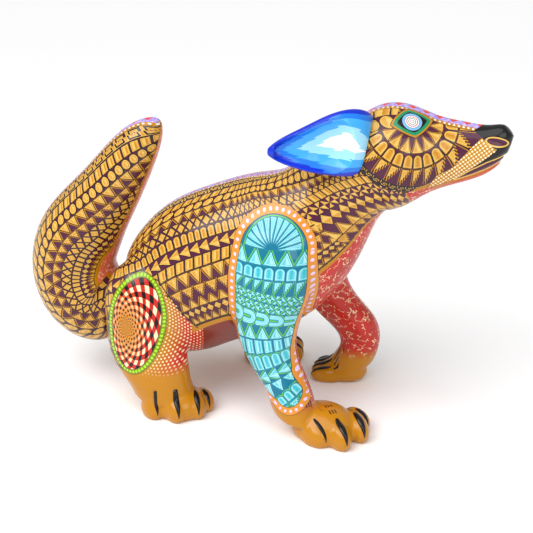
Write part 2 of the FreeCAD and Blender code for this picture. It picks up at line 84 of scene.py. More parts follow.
class Pot(Enum):
    """The painter's pots of acrylic, named for what each one gives the eye."""

    GOLD = "E4B85C"         # pale gold, the light half of every motif
    OCHRE = "BC7C02"        # warm ochre, the shaded half and the paws
    PLUM = "4C1434"         # ground between the gold motifs
    LINE = "23140F"         # dark brown outline
    BLACK = "0C0B0A"        # nose, lips, claws
    LAVENDER = "9C86DE"     # crest strip
    SCARLET = "E03A2C"      # crest triangles
    PEARL = "E9F6F2"        # dots beside the crest
    AQUA = "18AFC2"         # deep half of the shoulder panel
    ICE = "A8E6EA"          # light half of the shoulder panel
    TEAL = "06708E"         # shaded ground of the shoulder panel
    LIME = "5FC024"         # bright ground of the shoulder panel
    BORDER = "DB8C2E"       # orange border strips
    LILAC = "E2CDF8"        # dots on the orange border
    BRIGHT_LIME = "A4EC20"  # dots around the thigh
    MOSS = "7C8C14"         # strip under those dots
    RED = "C4241A"          # thigh, chest
    CREAM = "F7E6B8"        # belly: red-brown paint darkened to stand for the shade under the body, painted shade
    RUST_SHADE = "7C2A1A"         # belly
    SALMON = "DE6A50"       # inner face of the tail
    GREEN = "0E8A5C"        # eye lid
    RING = "7DB4E4"         # ring of the eye
    ROSE = "C9736A"         # thin ring of the eye
    ROYAL = "0A2EC4"        # rim of the ear
    AZURE = "1B78E4"        # inside the ear, next to the rim
    SKY = "3FA9F4"          # inside the ear
    MIST = "9EDCFC"         # inside the ear
    WHITE = "FBFDFE"        # middle of the ear

    @property
    def linear(self) -> tuple[float, float, float, float]:
        """This pot's colour in linear light."""
        return paint(self.value)


Number = Union["Signal", float]


def operator(operation: str, swapped: bool = False) -> Callable[["Signal", Number], "Signal"]:
    """Make an arithmetic method of Signal.

    Args:
        operation: Operation of the math node.
        swapped: Whether the other number comes first.
    Returns:
        The method.
    """
    def method(signal: "Signal", other: Number) -> "Signal":
        """Add the math node."""
        values = (other, signal) if swapped else (signal, other)
        return signal.graph.math(operation, *values)
    return method


class Signal:
    """A number that varies over a surface; arithmetic on it adds math nodes."""

    def __init__(self, graph: "Graph", socket: bpy.types.NodeSocket) -> None:
        self.graph = graph
        self.socket = socket

    __add__ = operator("ADD")
    __radd__ = operator("ADD", swapped=True)
    __sub__ = operator("SUBTRACT")
    __rsub__ = operator("SUBTRACT", swapped=True)
    __mul__ = operator("MULTIPLY")
    __rmul__ = operator("MULTIPLY", swapped=True)
    __gt__ = operator("GREATER_THAN")
    __lt__ = operator("LESS_THAN")

    def __abs__(self) -> "Signal":
        return self.graph.math("ABSOLUTE", self)

    def reach(self, other: "Signal") -> "Signal":
        """Distance from the origin of the plane that this and another span."""
        return (self * self + other * other).root()

    def low(self, other: Number) -> "Signal":
        """The lower of this and another."""
        return self.graph.math("MINIMUM", self, other)

    def high(self, other: Number) -> "Signal":
        """The higher of this and another."""
        return self.graph.math("MAXIMUM", self, other)

    def tile(self, pitch: float) -> "Signal":
        """Repeat every pitch mm, from minus to plus half a pitch."""
        return self.graph.math("WRAP", self, pitch / 2, -pitch / 2)

    def zigzag(self, pitch: float) -> "Signal":
        """Distance to the nearest multiple of pitch."""
        return self.graph.math("PINGPONG", self, pitch / 2)

    def step(self, size: float) -> "Signal":
        """Snapped down to a multiple of size."""
        return self.graph.math("SNAP", self, size)

    def root(self) -> "Signal":
        """Square root."""
        return self.graph.math("SQRT", self)


Colour = Union[bpy.types.NodeSocket, tuple]


class Graph:
    """The node tree of one finish."""

    def __init__(self, name: str) -> None:
        self.material = bpy.data.materials.new(name)
        self.material.use_nodes = True
        self.tree = self.material.node_tree
        self.tree.nodes.clear()

    def add(self, kind: str, settings: Optional[dict] = None,
            links: Optional[dict] = None) -> bpy.types.Node:
        """Add a node.

        Args:
            kind: Node type.
            settings: Properties to set on the node.
            links: Input name or index to a signal, a socket or a constant.
        Returns:
            The node.
        """
        node = self.tree.nodes.new(kind)
        for name, value in (settings or {}).items():
            setattr(node, name, value)
        for key, value in (links or {}).items():
            if isinstance(value, Signal):
                value = value.socket
            if isinstance(value, bpy.types.NodeSocket):
                self.tree.links.new(value, node.inputs[key])
            else:
                node.inputs[key].default_value = value
        return node

    def math(self, operation: str, *values: Number) -> Signal:
        """One math node over signals and constants."""
        node = self.add("ShaderNodeMath", {"operation": operation}, dict(enumerate(values)))
        return Signal(self, node.outputs[0])

    def field(self, name: str) -> Signal:
        """A number stored on the piece's vertices."""
        node = self.add("ShaderNodeAttribute", {"attribute_name": name})
        return Signal(self, node.outputs["Fac"])

    def pick(self, mask: Number, no: Number, yes: Number) -> Signal:
        """One of two numbers."""
        node = self.add("ShaderNodeMix", {"data_type": "FLOAT", "clamp_factor": False},
                        {0: mask, 2: no, 3: yes})
        return Signal(self, node.outputs[0])

    def blend(self, mask: Number, no: Colour, yes: Colour) -> bpy.types.NodeSocket:
        """Lay one colour over another where the mask is 1."""
        node = self.add("ShaderNodeMix", {"data_type": "RGBA"}, {0: mask, 6: no, 7: yes})
        return node.outputs[2]

    def place(self) -> bpy.types.NodeSocket:
        """Object coordinates in mm."""
        coordinates = self.add("ShaderNodeTexCoord").outputs["Object"]
        scaled = self.add("ShaderNodeVectorMath", {"operation": "SCALE"},
                          {0: coordinates, "Scale": 1 / MM})
        return scaled.outputs[0]

    def noise(self, size: float, detail: float = 2.0) -> Signal:
        """Soft noise whose blotches measure about size mm."""
        node = self.add("ShaderNodeTexNoise", {},
                        {"Vector": self.place(), "Scale": 1 / size, "Detail": detail})
        return Signal(self, node.outputs["Fac"])

    def coral(self, size: float) -> Signal:
        """Masks broken, wandering, branching strokes about size mm apart."""
        wander = self.add("ShaderNodeTexNoise", {},
                          {"Vector": self.place(), "Scale": 2.2 / size, "Detail": 2.0})
        shift = self.add("ShaderNodeVectorMath", {"operation": "SCALE"},
                         {0: wander.outputs["Color"], "Scale": size * 0.9})
        moved = self.add("ShaderNodeVectorMath", {"operation": "ADD"},
                         {0: self.place(), 1: shift.outputs[0]})
        cells = self.add("ShaderNodeTexVoronoi", {"feature": "DISTANCE_TO_EDGE"},
                         {"Vector": moved.outputs[0], "Scale": 1 / size})
        stroke = Signal(self, cells.outputs["Distance"]) * size < 0.16
        return stroke * (self.noise(size * 0.8) > 0.49)

    def varnish(self, colour: Colour, roughness: float = 0.42) -> bpy.types.Material:
        """Finish as acrylic under brushed gloss varnish: a clear coat with faint ripples."""
        ripple = self.noise(9.0, 1.0)
        bump = self.add("ShaderNodeBump", {}, {"Height": ripple, "Strength": 0.10,
                                               "Distance": 0.0006})
        return self.surface({
            "Base Color": colour, "Roughness": roughness, "IOR": 1.47,
            "Specular IOR Level": 0.20, "Coat Weight": 0.60, "Coat Roughness": 0.07,
            "Coat IOR": 1.42,
            "Coat Normal": bump.outputs["Normal"],
        })

    def surface(self, links: dict) -> bpy.types.Material:
        """Close the finish with a shader that has these inputs."""
        shader = self.add("ShaderNodeBsdfPrincipled", {}, links)
        self.add("ShaderNodeOutputMaterial", {}, {"Surface": shader.outputs["BSDF"]})
        return self.material


# ---------------------------------------------------------------------------
# Motifs: x runs along a row, y across it, both in mm
# ---------------------------------------------------------------------------

@dataclass
class Ink:
    """What a motif lays down: body above 0 inside it, in mm; tone 0 shaded to 1 light."""

    body: Signal
    tone: Signal


@dataclass(frozen=True)
class Row:
    """One painted row, in mm; ground 1 rims its plain ground with the second colour."""

    motif: Callable[["Row", Graph, Signal, Signal], Ink]
    height: float
    pitch: float
    lean: float = 0.0
    ground: float = 0.0


def bricks(row: Row, g: Graph, x: Signal, y: Signal) -> Ink:
    """Slanted blocks, light on one side."""
    slid = x + y * row.lean
    return Ink(slid.zigzag(row.pitch) - 0.45, slid.tile(row.pitch) * (1.1 / row.pitch) + 0.5)


def leaves(row: Row, g: Graph, x: Signal, y: Signal) -> Ink:
    """Slanted ovals split down their middle."""
    slid = (x + y * row.lean).tile(row.pitch)
    wide = row.pitch * 0.47
    tall = row.height * 0.5
    up = (y - tall) * (1 / tall)
    side = slid * (1 / wide)
    return Ink((1.0 - side.reach(up)) * (wide * 0.8), (slid > 0.0) * 0.6 + 0.35)


def triangles(row: Row, g: Graph, x: Signal, y: Signal) -> Ink:
    """Triangles that stand on the first edge of the row, half in shade."""
    across = x.tile(row.pitch)
    half = (row.height - y) * (0.5 * row.pitch / row.height)
    return Ink((half - abs(across)) * 0.85, (across > 0.0) * 0.65 + 0.3)


def drops(row: Row, g: Graph, x: Signal, y: Signal) -> Ink:
    """Triangles that stand on the second edge of the row."""
    return triangles(row, g, x, row.height - y)


def stairs(row: Row, g: Graph, x: Signal, y: Signal) -> Ink:
    """Triangles cut as flights of stairs."""
    across = x.tile(row.pitch)
    level = (row.height - y).step(row.height / 5)
    return Ink(level * (0.55 * row.pitch / row.height) - abs(across), (y * (0.9 / row.height)))


def flags(row: Row, g: Graph, x: Signal, y: Signal) -> Ink:
    """Half pyramids, straight on one side and stepped on the other."""
    across = x.tile(row.pitch) + row.pitch / 2
    level = (row.height - y).step(row.height / 6)
    far = level * (0.78 * row.pitch / row.height) + 0.9 - across
    return Ink(far.low(across - 0.6), 0.15 + across * (0.9 / row.pitch))


def lattice(row: Row, g: Graph, x: Signal, y: Signal) -> Ink:
    """Crossed strokes that leave small diamonds."""
    lean = 0.9 * row.pitch / row.height
    one = (x + y * lean).zigzag(row.pitch)
    two = (x - y * lean).zigzag(row.pitch)
    return Ink(one.low(two) - 0.55, (one > two) * 0.55 + 0.2)


def arches(row: Row, g: Graph, x: Signal, y: Signal) -> Ink:
    """Round-topped windows side by side."""
    across = x.tile(row.pitch)
    radius = row.pitch / 2 - 0.35
    over = (radius + 0.5 - y).high(0.0)
    return Ink(radius - across.reach(over), abs(across) * (1.6 / row.pitch))


def arrows(row: Row, g: Graph, x: Signal, y: Signal) -> Ink:
    """Triangles one behind the other along the row."""
    ahead = x.tile(row.pitch) + row.pitch / 2
    half = ahead * (0.5 * row.height / row.pitch)
    off = y - row.height / 2
    return Ink(half - abs(off), (off > 0.0) * 0.6 + 0.3)


def diamonds(row: Row, g: Graph, x: Signal, y: Signal) -> Ink:
    """Upright rhombs with a light upper half."""
    off = (y - row.height / 2)
    reach = abs(x.tile(row.pitch)) * (2 / row.pitch) + abs(off) * (2 / row.height)
    return Ink((1.0 - reach) * (row.pitch * 0.4), (off < 0.0) * 0.6 + 0.3)


def pinwheels(row: Row, g: Graph, x: Signal, y: Signal) -> Ink:
    """Squares of four turning triangles."""
    across = x.tile(row.pitch)
    up = (y - row.height / 2) * (row.pitch / row.height)
    turn = abs(across) - abs(up)
    return Ink(turn * ((across * up > 0.0) * 2.0 - 1.0) * 0.7, (across > 0.0) * 0.5 + 0.4)


def meander(row: Row, g: Graph, x: Signal, y: Signal) -> Ink:
    """Square spirals, dark strokes on gold."""
    line = row.height / 3.0
    off = y - row.height / 2
    across = x.tile(row.pitch) - (off < 0.0) * (line / 2)
    ring = abs(across).high(abs(off))
    return Ink(ring.zigzag(line) - 0.34, 0.75 + off * (0.4 / row.height))


def hoops(row: Row, g: Graph, x: Signal, y: Signal) -> Ink:
    """Nested rounded hoops lying along the row."""
    across = x.tile(row.pitch)
    off = y - row.height / 2
    ring = (across.high(0.0) * across.high(0.0) + off * off).root()
    return Ink((ring - row.height * 0.08).low(row.height * 0.46 - ring),
               (ring > row.height * 0.27) * 0.6 + 0.3)


def sunburst(row: Row, g: Graph, x: Signal, y: Signal) -> Ink:
    """Rays from the middle of the row's lower edge."""
    angle = g.math("ARCTAN2", x, row.height - y)
    reach = (row.height - y).reach(x)
    return Ink((row.height * 0.96 - reach).low(angle.zigzag(0.26) * reach - 0.25),
               angle.tile(0.26) * 3.0 + 0.5)


def lay_rows(g: Graph, rows: Sequence[Row], x: Signal, y: Signal, start: float,
             ) -> tuple[Signal, Signal, Signal, float]:
    """Stack rows outwards from a start line, a dark line between each two.

    Args:
        g: The finish.
        rows: Rows in order.
        x: Along the rows, mm.
        y: Across the rows, mm.
        start: Where the first row begins, mm.
    Returns:
        Body, tone and ground signals, and where the last row ends.
    """
    body: Number = -1.0
    tone: Number = 0.5
    ground: Number = 0.0
    for row in rows:
        local = y - start
        ink = row.motif(row, g, x, local)
        inside = ink.body.low(abs(local).low(abs(row.height - local)) - 0.35)
        mask = local > 0.0
        body = g.pick(mask, body, inside)
        tone = g.pick(mask, tone, ink.tone)
        ground = g.pick(mask, ground, row.ground)
        start += row.height
    return body, tone, ground, start


@dataclass(frozen=True)
class Palette:
    """Colours of a set of rows, and the widths of their outline and inner line, mm."""

    shade: Pot
    light: Pot
    ground: Pot
    second_ground: Pot
    line: Pot
    stroke: float
    inset: float


EARTH = Palette(Pot.OCHRE, Pot.GOLD, Pot.PLUM, Pot.OCHRE, Pot.LINE, 0.30, 1.0)
WATER = Palette(Pot.AQUA, Pot.ICE, Pot.TEAL, Pot.LIME, Pot.TEAL, 0.30, 1.1)


def colour_rows(g: Graph, palette: Palette, body: Signal, tone: Signal,
                ground: Signal) -> bpy.types.NodeSocket:
    """Turn ink into colour: shaded motif, dark outline, plain or rimmed ground between."""
    streaks = (g.noise(1.3, 3.0) - 0.5) * 0.5
    motif = g.blend((tone + streaks).low(1.0).high(0.0), palette.shade.linear,
                    palette.light.linear)
    edged = g.blend(body < -palette.inset, palette.second_ground.linear, palette.ground.linear)
    edged = g.blend(abs(body + palette.inset) < 0.15, edged, palette.line.linear)
    under = g.blend(ground, palette.ground.linear, edged)
    laid = g.blend(body > 0.0, under, motif)
    inner = g.blend(tone > 0.6, palette.light.linear, palette.shade.linear)
    laid = g.blend(abs(body - palette.inset) < 0.17, laid, inner)
    return g.blend(abs(body) < palette.stroke, laid, palette.line.linear)


def dotted_strip(g: Graph, colour: Colour, across: Signal, along: Signal, width: float,
                 strip: Pot, dot: Pot, pitch: float, radius: float) -> bpy.types.NodeSocket:
    """Lay a strip with a row of dots and dark edges over a colour.

    Args:
        g: The finish.
        colour: What lies under the strip.
        across: Distance from one edge of the strip, mm.
        along: Distance along it, mm.
        width: Width of the strip, mm.
        strip: Its colour.
        dot: Colour of its dots.
        pitch: Spacing of the dots, mm.
        radius: Size of the dots, mm.
    Returns:
        The new colour.
    """
    middle = across - width / 2
    spot = along.tile(pitch)
    colour = g.blend(abs(middle) < width / 2 + 0.35, colour, Pot.LINE.linear)
    colour = g.blend(abs(middle) < width / 2, colour, strip.linear)
    return g.blend(spot.reach(middle) < radius, colour, dot.linear)


def crest(g: Graph, colour: Colour, ridge: Signal, along: Signal, scale: float,
          ) -> bpy.types.NodeSocket:
    """Lay the lavender crest with scarlet triangles and its dotted edge over a colour."""
    edge = 5.4 * scale
    notch = (abs(along.tile(9.0)) * 1.2 + ridge * 0.9) < 3.6 * scale
    cloud = g.blend((g.noise(2.2) - 0.42) * 3.0, Pot.LAVENDER.linear, Pot.LILAC.linear)
    strip = g.blend(notch, cloud, Pot.SCARLET.linear)
    colour = dotted_strip(g, colour, ridge - edge, along, 3.0, Pot.OCHRE, Pot.PEARL, 3.1, 0.75)
    return g.blend(ridge < edge, colour, strip)


# ---------------------------------------------------------------------------
# Measuring the carving
# ---------------------------------------------------------------------------

def smooth_curve(points: Sequence[Sequence[float]], count: int) -> np.ndarray:
    """Run a Catmull-Rom curve through control points.

    Args:
        points: Control points of any dimension.
        count: Number of samples.
    Returns:
        Samples, one a line.
    """
    knots = np.array(points, float)
    padded = np.vstack([2 * knots[0] - knots[1], knots, 2 * knots[-1] - knots[-2]])
    place = np.linspace(0, len(knots) - 1, count)
    first = np.minimum(place.astype(int), len(knots) - 2)
    t = (place - first)[:, None]
    a, b, c, d = (padded[first + shift] for shift in range(4))
    return 0.5 * (2 * b + (c - a) * t + (2 * a - 5 * b + 4 * c - d) * t ** 2
                  + (3 * b - a - 3 * c + d) * t ** 3)


class Axis:
    """A curve in the X-Z plane with a radius at every point."""

    def __init__(self, stations: Sequence[Sequence[float]]) -> None:
        curve = smooth_curve(stations, 360)
        self.line = curve[:, :2]
        self.radius = curve[:, 2]
        pieces = np.linalg.norm(np.diff(self.line, axis=0), axis=1)
        self.arc = np.concatenate([[0.0], np.cumsum(pieces)])
        tangent = np.gradient(self.line, axis=0)
        self.tangent = tangent / np.linalg.norm(tangent, axis=1)[:, None]

    def project(self, spots: np.ndarray) -> tuple[np.ndarray, np.ndarray, np.ndarray]:
        """Find each spot on the axis.

        Args:
            spots: X and Z, one spot a line.
        Returns:
            Distance along the axis, height over it and the radius there.
        """
        nearest = np.empty(len(spots), int)
        for begin in range(0, len(spots), 4000):
            part = spots[begin:begin + 4000, None, :] - self.line[None]
            nearest[begin:begin + 4000] = (part ** 2).sum(2).argmin(1)
        gap = spots - self.line[nearest]
        tangent = self.tangent[nearest]
        along = self.arc[nearest] + (gap * tangent).sum(1)
        over = gap[:, 1] * tangent[:, 0] - gap[:, 0] * tangent[:, 1]
        return along, over, np.interp(along, self.arc, self.radius)


class Outline:
    """A closed outline in the X-Z plane."""

    def __init__(self, line: np.ndarray) -> None:
        self.line = line
        steps = np.linalg.norm(np.roll(line, -1, axis=0) - line, axis=1)
        self.arc = np.concatenate([[0.0], np.cumsum(steps)[:-1]])
        self.length = float(steps.sum())

    @classmethod
    def paddle(cls, stations: Sequence[Sequence[float]]) -> "Outline":
        """The outline around a row of circles of changing radius."""
        axis = Axis(stations)
        normal = np.stack([-axis.tangent[:, 1], axis.tangent[:, 0]], 1)
        ends = []
        for index, sign in ((-1, 1.0), (0, -1.0)):
            start = math.atan2(*(sign * normal[index])[::-1])
            turn = start - np.linspace(0, math.pi, 40)[1:-1]
            ring = np.stack([np.cos(turn), np.sin(turn)], 1) * axis.radius[index]
            ends.append(axis.line[index] + ring)
        one = axis.line + normal * axis.radius[:, None]
        two = (axis.line - normal * axis.radius[:, None])[::-1]
        return cls(np.vstack([one, ends[0], two, ends[1]]))

    @classmethod
    def oval(cls, middle: Sequence[float], half: Sequence[float], tilt: float) -> "Outline":
        """An ellipse."""
        turn = np.linspace(0, 2 * math.pi, 240, endpoint=False)
        ring = np.stack([np.cos(turn) * half[0], np.sin(turn) * half[1]], 1)
        cos, sin = math.cos(math.radians(tilt)), math.sin(math.radians(tilt))
        return cls(np.array(middle) + ring @ np.array([[cos, sin], [-sin, cos]]))

    @classmethod
    def polygon(cls, corners: Sequence[Sequence[float]]) -> "Outline":
        """Straight sides between corners."""
        sides = []
        for start, end in zip(corners, list(corners[1:]) + [corners[0]]):
            sides.append(np.linspace(start, end, 24, endpoint=False))
        return cls(np.vstack(sides))

    def measure(self, spots: np.ndarray) -> tuple[np.ndarray, np.ndarray]:
        """Signed distance to the outline, negative inside, and where along it that is."""
        distance = np.empty(len(spots))
        around = np.empty(len(spots))
        crossings = np.zeros(len(spots), int)
        after = np.roll(self.line, -1, axis=0)
        for begin in range(0, len(spots), 4000):
            part = spots[begin:begin + 4000]
            span = ((part[:, None, :] - self.line[None]) ** 2).sum(2)
            nearest = span.argmin(1)
            distance[begin:begin + 4000] = np.sqrt(span.min(1))
            side = after[nearest] - self.line[nearest]
            slide = ((part - self.line[nearest]) * side).sum(1) / (side ** 2).sum(1)
            around[begin:begin + 4000] = self.arc[nearest] + slide * np.sqrt((side ** 2).sum(1))
            high = (self.line[None, :, 1] > part[:, None, 1]) != (after[None, :, 1]
                                                                > part[:, None, 1])
            rise = after[:, 1] - self.line[:, 1]
            rise = np.where(np.abs(rise) < 1e-9, 1e-9, rise)
            meet = self.line[None, :, 0] + (part[:, None, 1] - self.line[None, :, 1]) * (
                (after - self.line)[None, :, 0] / rise[None])
            crossings[begin:begin + 4000] = (high & (part[:, None, 0] < meet)).sum(1)
        return np.where(crossings % 2 == 1, -distance, distance), around


@dataclass(frozen=True)
class Shift:
    """Between the drawing, in mm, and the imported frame, in metres."""

    x: float
    y: float

    @classmethod
    def read(cls) -> "Shift":
        """Find the shift from the trunk's box."""
        low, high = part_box("torso_and_head")
        return cls(low.x / MM - DRAWN_TORSO_LOW_X, (low.y + high.y) / 2 / MM - DRAWN_TORSO_MID_Y)

    def to_frame(self, spot: Sequence[float]) -> Vector:
        """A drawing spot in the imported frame."""
        return Vector(((spot[0] + self.x) * MM, (spot[1] + self.y) * MM, spot[2] * MM))

    def to_drawing(self, places: np.ndarray) -> np.ndarray:
        """Packed vertices in the drawing."""
        return places / MM - np.array([self.x, self.y, 0.0])


SHIFT = Shift.read()


# ---------------------------------------------------------------------------
# Skins over the frame
# ---------------------------------------------------------------------------

def merged_copy(nodes: Iterable[str]) -> bmesh.types.BMesh:
    """Copy CAD nodes into one mesh with their seams welded."""
    mesh = bmesh.new()
    for name in nodes:
        mesh.from_mesh(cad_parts[name].data)
    bmesh.ops.remove_doubles(mesh, verts=mesh.verts, dist=1e-6)
    return mesh


def even_skin(name: str, source: bmesh.types.BMesh, pitch: float) -> bpy.types.Object:
    """Wrap a mesh in a skin of even small squares.

    Args:
        name: Name of the new piece.
        source: What to wrap; it is used up.
        pitch: Size of the squares, mm.
    Returns:
        The new piece.
    """
    rough = bpy.data.meshes.new(name + "_rough")
    source.to_mesh(rough)
    source.free()
    piece = bpy.data.objects.new(name, rough)
    bpy.context.scene.collection.objects.link(piece)
    remesh = piece.modifiers.new("even", "REMESH")
    remesh.mode = "VOXEL"
    remesh.voxel_size = pitch * MM
    remesh.adaptivity = 0.0
    ready = piece.evaluated_get(bpy.context.evaluated_depsgraph_get())
    skin = bpy.data.meshes.new_from_object(ready)
    piece.modifiers.clear()
    piece.data = skin
    bpy.data.meshes.remove(rough)
    return piece


def soften(piece: bpy.types.Object, chosen: np.ndarray, passes: int, factor: float) -> None:
    """Sand the chosen vertices of a piece smooth."""
    mesh = bmesh.new()
    mesh.from_mesh(piece.data)
    mesh.verts.ensure_lookup_table()
    picked = [mesh.verts[i] for i in np.flatnonzero(chosen)]
    for _ in range(passes):
        bmesh.ops.smooth_vert(mesh, verts=picked, factor=factor, use_axis_x=True,
                              use_axis_y=True, use_axis_z=True)
    mesh.to_mesh(piece.data)
    mesh.free()


def spots_of(piece: bpy.types.Object) -> np.ndarray:
    """The piece's vertices in the drawing, mm."""
    flat = np.empty(len(piece.data.vertices) * 3)
    piece.data.vertices.foreach_get("co", flat)
    return SHIFT.to_drawing(flat.reshape(-1, 3))


def normals_of(piece: bpy.types.Object) -> np.ndarray:
    """The piece's vertex normals."""
    flat = np.empty(len(piece.data.vertices) * 3)
    piece.data.vertex_normals.foreach_get("vector", flat)
    return flat.reshape(-1, 3)


def store(piece: bpy.types.Object, fields: dict[str, np.ndarray]) -> None:
    """Keep numbers on the piece's vertices for its finishes to read."""
    for name, values in fields.items():
        layer = piece.data.attributes.new(name, "FLOAT", "POINT")
        layer.data.foreach_set("value", np.ascontiguousarray(values, dtype=np.float32))


def zone_faces(piece: bpy.types.Object, zone: np.ndarray) -> None:
    """Give every face the finish number of its first corner."""
    corners = np.empty(len(piece.data.loops), int)
    piece.data.loops.foreach_get("vertex_index", corners)
    starts = np.empty(len(piece.data.polygons), int)
    piece.data.polygons.foreach_get("loop_start", starts)
    piece.data.polygons.foreach_set("material_index", zone[corners[starts]].astype(np.int32))
    piece.data.polygons.foreach_set("use_smooth", np.ones(len(starts), bool))
    piece.data.update()


def ramp(values: np.ndarray, low: float, high: float) -> np.ndarray:
    """0 below low to 1 above high, eased."""
    t = np.clip((values - low) / (high - low), 0, 1)
    return t * t * (3 - 2 * t)


# ---------------------------------------------------------------------------
# Trunk, head and legs
# ---------------------------------------------------------------------------

TRUNK_NODES = ("torso_and_head", "foreleg_right", "foreleg_left", "hindleg_right",
               "hindleg_left", "foreleg_right_dowels", "foreleg_left_dowels",
               "hindleg_right_dowels", "hindleg_left_dowels")
LEG_NODES = ("foreleg_right", "foreleg_left", "hindleg_right", "hindleg_left")

# x, z and half height along the middle of the trunk
TRUNK_AXIS = ((-120, 61, 27), (-97, 68, 35), (-80, 73, 45), (-49.5, 95, 55.5), (-21, 109, 57),
              (9.5, 123, 54.5), (28, 137, 47), (42, 153.4, 38.5), (56.7, 173, 32),
              (71.5, 186.5, 34), (85, 194, 35), (100, 198, 32.4), (116.5, 199.5, 25),
              (134.7, 202, 20), (147.5, 205.5, 16), (156, 211.5, 11), (163, 219, 4.6))
NOMINAL_HALF = 57.0     # half height at which a row has its stated size
NOMINAL_REACH = 52.0    # mm around the trunk in one radian, there
WIDTH_TO_HEIGHT = 0.82

PANEL_AXES = {
    RIGHT: ((16, 136, 28.5), (15, 112, 30), (12, 86, 26.5), (14, 64, 22.5), (22, 46, 18),
            (31, 36, 14.5)),
    LEFT: ((31, 118, 21), (35, 98, 21), (43, 76, 19), (54, 56, 17), (60, 40, 13)),
}
THIGHS = {
    RIGHT: ((-83, 71), (21.5, 37), -8.0),
    LEFT: ((-64, 75), (19, 32), -28.0),
}
HIP_LINES = {RIGHT: ((-74, 111), (-44.5, 74)), LEFT: ((-50, 111), (-20, 74))}

EYE = {side: np.array([101.5, side * 15.5, 223.2]) for side in (RIGHT, LEFT)}
EYE_ALONG = np.array([0.893, 0.447, 0.051])     # for the right eye; the left one mirrors it
EYE_UP = np.array([-0.370, 0.665, 0.652])
EYE_HALF = (13.6, 10.6)

DOT_PANEL = ((145.5, 214.5), (155.8, 206.9), (132.5, 186.8), (112, 178), (119, 189),
             (128.5, 194.7), (137, 205))
NOSE = ((140, 218.4), (148, 222), (160, 232), (176, 228), (172, 208), (160, 202.6),
        (150, 198.4), (140, 193), (131.5, 186.9), (133.5, 187), (156, 206.9), (146, 214.6))
LIPS = ((160.5, 202.2), (150, 198.2), (140, 192.6), (131.5, 186.6), (129.5, 184.6),
        (141, 189.2), (151, 194), (161, 199.5))
NOSTRIL = ((155.4, 211.9), (7.4, 3.0), -10.0)

FLANK_START = 6.2
FLANK_ROWS = (
    Row(meander, 7.4, 9.4),
    Row(bricks, 6.6, 7.2, 0.5),
    Row(leaves, 6.6, 7.4, 0.5),
    Row(triangles, 6.6, 7.6, ground=1.0),
    Row(lattice, 8.6, 6.6),
    Row(arches, 9.0, 5.2),
    Row(arrows, 8.6, 7.6),
    Row(bricks, 8.2, 7.0, 0.35),
    Row(triangles, 9.6, 9.2, ground=1.0),
    Row(stairs, 8.6, 9.6, ground=1.0),
    Row(drops, 7.0, 8.2, ground=1.0),
    Row(diamonds, 6.2, 6.0),
    Row(drops, 6.4, 6.6, ground=1.0),
)
NECK_START = 40.0
NECK_FROM = 190.0
NECK_ROWS = (
    Row(bricks, 9.5, 7.6, -0.2),
    Row(pinwheels, 12.5, 12.5),
    Row(diamonds, 15.0, 11.0),
    Row(drops, 15.5, 13.5, ground=1.0),
    Row(stairs, 14.0, 12.5, ground=1.0),
)
MARGIN = 106.6
PANEL_ROWS = (
    Row(sunburst, 20.0, 60.0, ground=1.0),
    Row(drops, 10.5, 10.5, ground=1.0),
    Row(arches, 9.5, 7.4),
    Row(flags, 9.0, 7.0, ground=1.0),
    Row(pinwheels, 7.0, 7.0, ground=1.0),
    Row(pinwheels, 7.0, 7.0, ground=1.0),
    Row(hoops, 10.0, 9.5, ground=1.0),
    Row(drops, 10.0, 9.0, ground=1.0),
    Row(bricks, 10.5, 6.6),
    Row(arches, 11.5, 6.4, ground=1.0),
    Row(arrows, 9.0, 7.5, ground=1.0),
    Row(triangles, 9.5, 9.0),
    Row(arches, 8.5, 6.2, ground=1.0),
    Row(stairs, 8.0, 8.5, ground=1.0),
    Row(diamonds, 7.0, 6.5),
    Row(stairs, 7.5, 8.0, ground=1.0),
    Row(drops, 12.0, 8.0, ground=1.0),
)
FACE_START = 10.5
FACE_ROWS = (
    Row(drops, 10.4, 11.4, ground=1.0),
    Row(arches, 9.4, 7.1),
    Row(flags, 10.9, 7.1, ground=1.0),
    Row(meander, 4.6, 4.2),
)
CROWN_ROWS = (
    Row(bricks, 15.0, 12.5),
    Row(leaves, 17.0, 12.0, -0.25),
)


class Zone(Enum):
    """Finishes of the trunk skin, by slot."""

    COAT = 0
    PANEL = 1
    THIGH = 2
    FACE = 3
    SKIN = 4


def body_fields(spots: np.ndarray) -> dict[str, np.ndarray]:
    """Measure rows around the trunk.

    Args:
        spots: Vertices in the drawing, mm.
    Returns:
        along: place on a row, mm; around: across the rows, mm; ridge: true mm from the crest;
        station: true mm along the trunk.
    """
    axis = Axis(TRUNK_AXIS)
    station, over, half = axis.project(spots[:, [0, 2]])
    angle = np.arctan2(np.abs(spots[:, 1]) / WIDTH_TO_HEIGHT, over)
    grid = np.linspace(-30, axis.arc[-1] + 20, 400)
    scale = np.interp(grid, axis.arc, axis.radius) / NOMINAL_HALF
    stretch = np.concatenate([[0.0], np.cumsum(np.diff(grid) / scale[1:])])
    around = angle * NOMINAL_REACH
    drift = 0.55 * np.maximum(station - 165, 0) * ramp(around, 8, 60) * (station < 262)
    return {
        "along": np.interp(station, grid, stretch),
        "around": around - drift,
        "girth": around,
        "angle": angle,
        "ridge": angle * half * 0.92,
        "station": station,
    }


def line_side(spots: np.ndarray, line: Sequence[Sequence[float]]) -> np.ndarray:
    """Signed distance in the X-Z plane to a line, positive in front of and above it."""
    start, end = np.array(line[0], float), np.array(line[1], float)
    run = (end - start) / np.linalg.norm(end - start)
    gap = spots[:, [0, 2]] - start
    return gap[:, 0] * -run[1] + gap[:, 1] * run[0]


@dataclass(frozen=True)
class Toe:
    """One toe: middle in plan, heading in degrees and half length, mm."""

    x: float
    y: float
    heading: float
    reach: float

    @property
    def ahead(self) -> np.ndarray:
        """Unit heading in plan."""
        turn = math.radians(self.heading)
        return np.array([math.cos(turn), math.sin(turn)])


